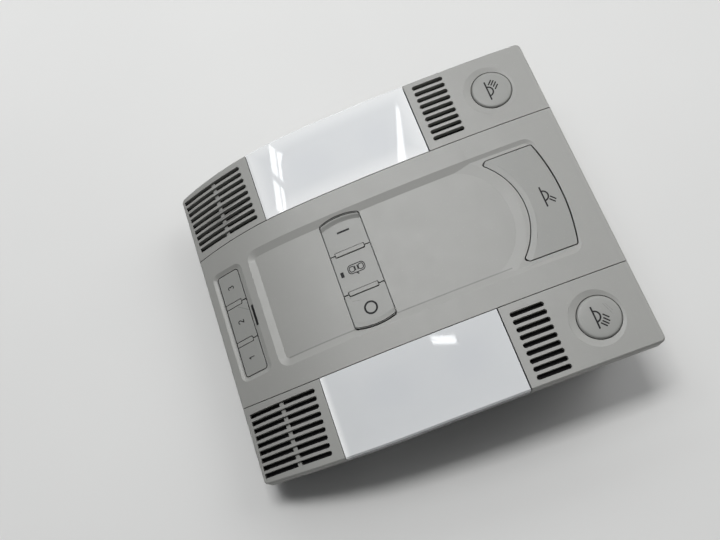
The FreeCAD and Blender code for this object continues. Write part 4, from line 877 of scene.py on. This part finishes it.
def area_lamp(name, place, size, power):
    """A rectangular soft lamp that points at the unit, with its first side level along X."""
    data = bpy.data.lights.new(name, "AREA")
    data.shape = "RECTANGLE"
    data.size, data.size_y = size
    data.energy = power
    lamp = put(name, data)
    lamp.location = place
    lamp.rotation_mode = "QUATERNION"
    back = (Vector(place) - Vector(LAMP_AIM)).normalized()
    upward = back.cross(Vector((1, 0, 0))).normalized()
    lamp.rotation_quaternion = Matrix((upward.cross(back), upward, back)).transposed().to_quaternion()


def level_sheet(name, quads, height, material):
    """Level quads at one height, each given by its corners in plan."""
    points = [(*corner, height) for quad in quads for corner in quad]
    sheet = bpy.data.meshes.new(name)
    sheet.from_pydata(points, [], [range(first, first + 4) for first in range(0, len(points), 4)])
    sheet.materials.append(material)
    return put(name, sheet)


def glowing_sheet(name, quads, height, glow):
    """A level sheet of light that the camera doesn't see and that casts no shadow."""
    made = blank(name, base_color=(0, 0, 0, 1), emission_color=COOL_WHITE, emission_strength=glow)[0]
    piece = level_sheet(name, quads, height, made)
    piece.visible_camera = False
    piece.visible_shadow = False


def leaning_quad(corner, across, along, across_span=(0, 1), along_span=(0, 1)):
    """Corners of a share of a leaning rectangle, given in plan by a corner and its two sides."""
    corner, across, along = Vector(corner), Vector(across), Vector(along)
    return [corner + across * across_span[side] + along * along_span[end]
            for side, end in ((0, 0), (1, 0), (1, 1), (0, 1))]


def build_window(stage):
    """A barred window, a narrow gap beside it and a small rooflight, before two pale cards."""
    quads = [leaning_quad(WINDOW_CORNER, WINDOW_ACROSS, WINDOW_ALONG, across, along)
             for across in PANES_ACROSS for along in PANES_ALONG]
    quads += [NARROW_GAP, leaning_quad(*ROOFLIGHT)]
    glowing_sheet("window", quads, stage.window_height, stage.window_glow)
    cards = [leaning_quad(*NEAR_CARD), leaning_quad(*FAR_CARD)]
    glowing_sheet("pale_card", cards, stage.window_height + CARD_BEHIND, stage.card_glow)


def build_floor(shade):
    """A wide pale floor under the unit, with a faint unevenness, that fades into the backdrop."""
    made, tree, shader = blank("pale_floor", specular_ior_level=0.15)
    place = object_place(tree)
    tone = remap(tree, noise(tree, place, scale=6.0, detail=3.0), (0.3, 0.7))
    dress(tree, shader, base_color=mix_colour(tree, tone, opaque(shade), opaque(shade, 0.97)),
          roughness=remap(tree, tone, (0.0, 1.0), (0.75, 0.85)))
    rays = add(tree, "ShaderNodeLightPath").outputs
    seen = maths(tree, "MAXIMUM", rays["Is Camera Ray"], maths(
        tree, "MAXIMUM", rays["Is Glossy Ray"], rays["Is Transmission Ray"]))
    away = remap(tree, vector_measure(tree, "LENGTH", place), FLOOR_FADE, smooth=True)
    backdrop = add(tree, "ShaderNodeEmission", {"Color": BACKDROP, "Strength": 1.0}).outputs[0]
    faded = add(tree, "ShaderNodeMixShader", {
        0: maths(tree, "MULTIPLY", seen, away), 1: shader.outputs[0], 2: backdrop}).outputs[0]
    tree.links.new(faded, tree.nodes["Material Output"].inputs["Surface"])
    width = 2 * FLOOR_HALF
    floor = level_sheet("floor", [leaning_quad((-FLOOR_HALF, -FLOOR_HALF), (width, 0), (0, width))], 0, made)


def build_world(strength):
    """Even light from all round, with a paler backdrop for the camera and for what glass lets through."""
    world = bpy.data.worlds.new("studio")
    bpy.context.scene.world = world
    world.use_nodes = True
    tree = world.node_tree
    tree.nodes.clear()
    rays = add(tree, "ShaderNodeLightPath").outputs
    seen = maths(tree, "MAXIMUM", rays["Is Camera Ray"], rays["Is Transmission Ray"])
    light = add(tree, "ShaderNodeBackground", {"Color": COOL_WHITE, "Strength": strength}).outputs[0]
    backdrop = add(tree, "ShaderNodeBackground", {"Color": BACKDROP, "Strength": 1.0}).outputs[0]
    mixed = add(tree, "ShaderNodeMixShader", {0: seen, 1: light, 2: backdrop}).outputs[0]
    add(tree, "ShaderNodeOutputWorld", {"Surface": mixed})


def build_camera(stage):
    """The camera at the photo's angle."""
    data = bpy.data.cameras.new("camera")
    data.lens = stage.camera_lens
    data.clip_start = 0.01
    camera = put("camera", data)
    camera.location = stage.camera_place
    camera.rotation_mode = "QUATERNION"
    view = (Vector(stage.camera_aim) - Vector(stage.camera_place)).to_track_quat("-Z", "Y")
    camera.rotation_quaternion = view @ Quaternion((0, 0, 1), stage.camera_roll)
    bpy.context.scene.camera = camera


# Operators

class OVERHEAD_OT_face(bpy.types.Operator):
    """Finish the face mouldings in warm grey grained plastic"""
    bl_idname = "overhead.face"
    bl_label = "Face Mouldings"

    def execute(self, context):
        build_groups()
        shade = context.scene.overhead_finish.face
        corners = moulded("corner_grey", shade, FACE_ROUGHNESS, gloss=FACE_GLOSS, gaps=CORNER_GAP_SHADE)
        for node in FACE_NODES:
            finish_node(node, corners)
        # The centre panel carries a painted shade line at the foot of the channel's lower wall
        centre = moulded("centre_grey", shade, FACE_ROUGHNESS, gloss=FACE_GLOSS, scratches=[CREASE_SHADE_LINE])
        finish_node("centre_panel", centre)
        return {"FINISHED"}


class OVERHEAD_OT_keys(bpy.types.Operator):
    """Finish the keys and buttons, with the scratches of use"""
    bl_idname = "overhead.keys"
    bl_label = "Keys and Buttons"

    def execute(self, context):
        shade = context.scene.overhead_finish.key
        plain = moulded("key_grey", shade, KEY_ROUGHNESS)
        for node in KEY_NODES:
            finish_node(node, plain)
        for node, (name, lines) in KEY_SCRATCHES.items():
            middle = plan_box(node)[2]
            scratches = []
            for *ends, width in lines:
                start, stop = [(middle.x + x * MM, middle.y + y * MM, 0) for x, y in ends]
                scratches.append((start, stop, width * MM, SCRATCH_BREAKS))
            finish_node(node, moulded(name, shade, KEY_ROUGHNESS, scratches=scratches))
        return {"FINISHED"}


class OVERHEAD_OT_forms(bpy.types.Operator):
    """Add the slopes of the end keys, the crowns of the round buttons and the felt behind the slots"""
    bl_idname = "overhead.forms"
    bl_label = "Slopes, Crowns and Felt"

    def execute(self, context):
        forms = context.scene.overhead_forms
        for node, way in (("key_on", 1), ("key_off", -1)):
            end_ramp(node, way, forms.ramp, NODES[node].data.materials[0])
        shade = context.scene.overhead_finish.felt
        felt = moulded("grille_felt", shade, 0.9, dust=0.02, mottle=0.5, gloss=0.05)
        for side in SIDES:
            button = f"reading_button_{side}"
            button_crown(button, forms.crown_radius, forms.crown, NODES[button].data.materials[0])
            node = f"nose_grille_{side}"
            low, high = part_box(node)
            front, rear = low.x + NOSE_FELT_END, high.x - NOSE_FELT_END
            grille_felt(f"nose_felt_{side}", node, front, rear, forms.felt, felt)
            node = f"button_panel_{side}"
            low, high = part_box(node)
            front, rear = low.x + REAR_FELT_START, low.x + REAR_FELT_STOP
            grille_felt(f"rear_felt_{side}", node, front, rear, forms.felt, felt)
        return {"FINISHED"}


class OVERHEAD_OT_lenses(bpy.types.Operator):
    """Finish the lamp lenses in glossy opal acrylic"""
    bl_idname = "overhead.lenses"
    bl_label = "Lenses"

    def execute(self, context):
        # Shares of the painted border glow and front highlight on each lens
        for side, edge_glow_share, front_highlight_share in (("left", 1.0, 0.1), ("right", 0.15, 0.8)):
            node = f"lens_{side}"
            lamps = [(f"dome_bulb_{side}", DOME_BULB_SHADOW), (f"reading_bulb_{side}", READING_BULB_SHADOW)]
            finish_node(node, opal(f"opal_{side}", node, lamps, edge_glow_share, front_highlight_share))
        return {"FINISHED"}


class OVERHEAD_OT_works(bpy.types.Operator):
    """Finish the housing, frames, boards, lamps and fasteners behind the face"""
    bl_idname = "overhead.works"
    bl_label = "Works and Housing"

    def execute(self, context):
        finish = context.scene.overhead_finish
        kinds = {
            moulded("frame_black", finish.frame, 0.6, dust=0.02, gloss=0.2): (
                "mid_frame", "switch_housings", "opener_switches", "connector_header", "bulb_socket_left",
                "bulb_socket_right"),
            moulded("divider_grey", finish.divider, 0.5): ("key_frame", "opener_frame"),
            moulded("housing_grey", finish.housing, 0.6, dust=0.1): ("rear_housing", "opener_cover"),
            moulded("plunger_nylon", finish.nylon, 0.4, dust=0.05): [
                node for node in NODES if node.startswith("plunger_")],
            moulded("smoked_window", finish.window, 0.5, dust=0.03, gloss=0.2): (
                "opener_lamp", "key_door_lamp"),
            circuit("solder_mask", finish.board, finish.trace): ("circuit_board", "opener_board"),
            moulded("reflector_white", finish.reflector, 0.25, dust=0.04): (
                "reflector_left", "reflector_right"),
            metal("spring_steel", finish.spring, 0.3, (0.05, 1, 1)): ("retaining_clips", "festoon_clips"),
            metal("zinc_plate", finish.zinc, 0.35, (1, 1, 0.1)): ("housing_screws",),
            metal("contact_brass", finish.brass, 0.3, (0.05, 1, 1)): ("connector_pins",),
            clear_glass("bulb_glass"): (
                "dome_bulb_left", "dome_bulb_right", "reading_bulb_left", "reading_bulb_right"),
        }
        for material, nodes in kinds.items():
            for node in nodes:
                finish_node(node, material)
        return {"FINISHED"}


class OVERHEAD_OT_marks(bpy.types.Operator):
    """Print the plain marks on the keys and buttons"""
    bl_idname = "overhead.marks"
    bl_label = "Printed Marks"

    def execute(self, context):
        marks = context.scene.overhead_marks
        ink = print_ink("print_ink", context.scene.overhead_finish.print)
        stroke = marks.stroke
        for digit, y in DIGIT_Y.items():
            node = f"opener_key_{digit}"
            place = (plan_box(node)[2].x + DIGIT_SHIFT_X, y)
            strokes = digit_strokes(digit, marks.digit, marks.fine_stroke * DIGIT_STROKE)
            lay_mark(f"digit_{digit}", upright(strokes, place), node, node, ink)
        middle = plan_box("key_door")[2].x
        bar = [(middle - marks.bar / 2, BAR_Y), (middle + marks.bar / 2, BAR_Y)]
        lay_mark("mark_on", [(bar, stroke * BAR_STROKE)], "key_on", "key_on", ink)
        ring = arc((middle, RING_Y), (marks.ring - stroke * RING_STROKE) / 2, 0, 360, 48)
        lay_mark("mark_off", [(ring, stroke * RING_STROKE)], "key_off", "key_off", ink)
        car = car_strokes((middle, CAR_Y), marks.fine_stroke)
        lay_mark("mark_door", car, "key_door", "key_door", ink)
        for side, way in zip(SIDES, (1, -1)):
            node = f"reading_button_{side}"
            centre = plan_box(node)[2]
            place = (centre.x + READING_SHIFT[0], centre.y + READING_SHIFT[1] * way)
            strokes = lamp_strokes(place, way, READING_RAYS, READING_REACH, stroke)
            lay_mark(f"mark_reading_{side}", strokes, f"{node}_crown", node, ink)
        strokes = lamp_strokes(DOME_PLACE, -1, DOME_RAYS, DOME_REACH, stroke)
        lay_mark("mark_dome", strokes, "dome_button", "dome_button", ink)
        return {"FINISHED"}


class OVERHEAD_OT_stage(bpy.types.Operator):
    """Set up the pale floor, the soft lamps and the camera"""
    bl_idname = "overhead.stage"
    bl_label = "Stage"

    def execute(self, context):
        stage = context.scene.overhead_stage
        context.scene.view_settings.view_transform = "Standard"
        build_floor(stage.floor)
        build_world(stage.sky)
        build_camera(stage)
        area_lamp("key_lamp", stage.key_place, KEY_LAMP_SIZE, stage.key_power)
        area_lamp("side_lamp", stage.side_place, SIDE_LAMP_SIZE, stage.side_power)
        build_window(stage)
        return {"FINISHED"}


class OVERHEAD_PT_panel(bpy.types.Panel):
    """Buttons and settings of the overhead light unit"""
    bl_idname = "OVERHEAD_PT_panel"
    bl_label = "Overhead Light"
    bl_space_type = "VIEW_3D"
    bl_region_type = "UI"
    bl_category = "Overhead Light"

    def draw(self, context):
        for operator in OPERATORS:
            self.layout.operator(operator.bl_idname)
        for group_name in SETTINGS:
            settings = getattr(context.scene, group_name)
            box = self.layout.box()
            for name in settings.__annotations__:
                box.prop(settings, name)


SETTINGS = {"overhead_finish": FinishSettings, "overhead_forms": FormSettings,
            "overhead_marks": MarkSettings, "overhead_stage": StageSettings}
OPERATORS = (OVERHEAD_OT_face, OVERHEAD_OT_keys, OVERHEAD_OT_forms, OVERHEAD_OT_lenses, OVERHEAD_OT_works,
             OVERHEAD_OT_marks, OVERHEAD_OT_stage)


def register():
    for item in (*SETTINGS.values(), *OPERATORS, OVERHEAD_PT_panel):
        bpy.utils.register_class(item)
    for name, settings in SETTINGS.items():
        setattr(bpy.types.Scene, name, PointerProperty(type=settings))


def unregister():
    for name in SETTINGS:
        delattr(bpy.types.Scene, name)
    for item in reversed((*SETTINGS.values(), *OPERATORS, OVERHEAD_PT_panel)):
        bpy.utils.unregister_class(item)


def main():
    register()
    bpy.ops.overhead.face()
    bpy.ops.overhead.keys()
    bpy.ops.overhead.forms()
    bpy.ops.overhead.lenses()
    bpy.ops.overhead.works()
    bpy.ops.overhead.marks()
    bpy.ops.overhead.stage()


if __name__ == "__main__":
    main()
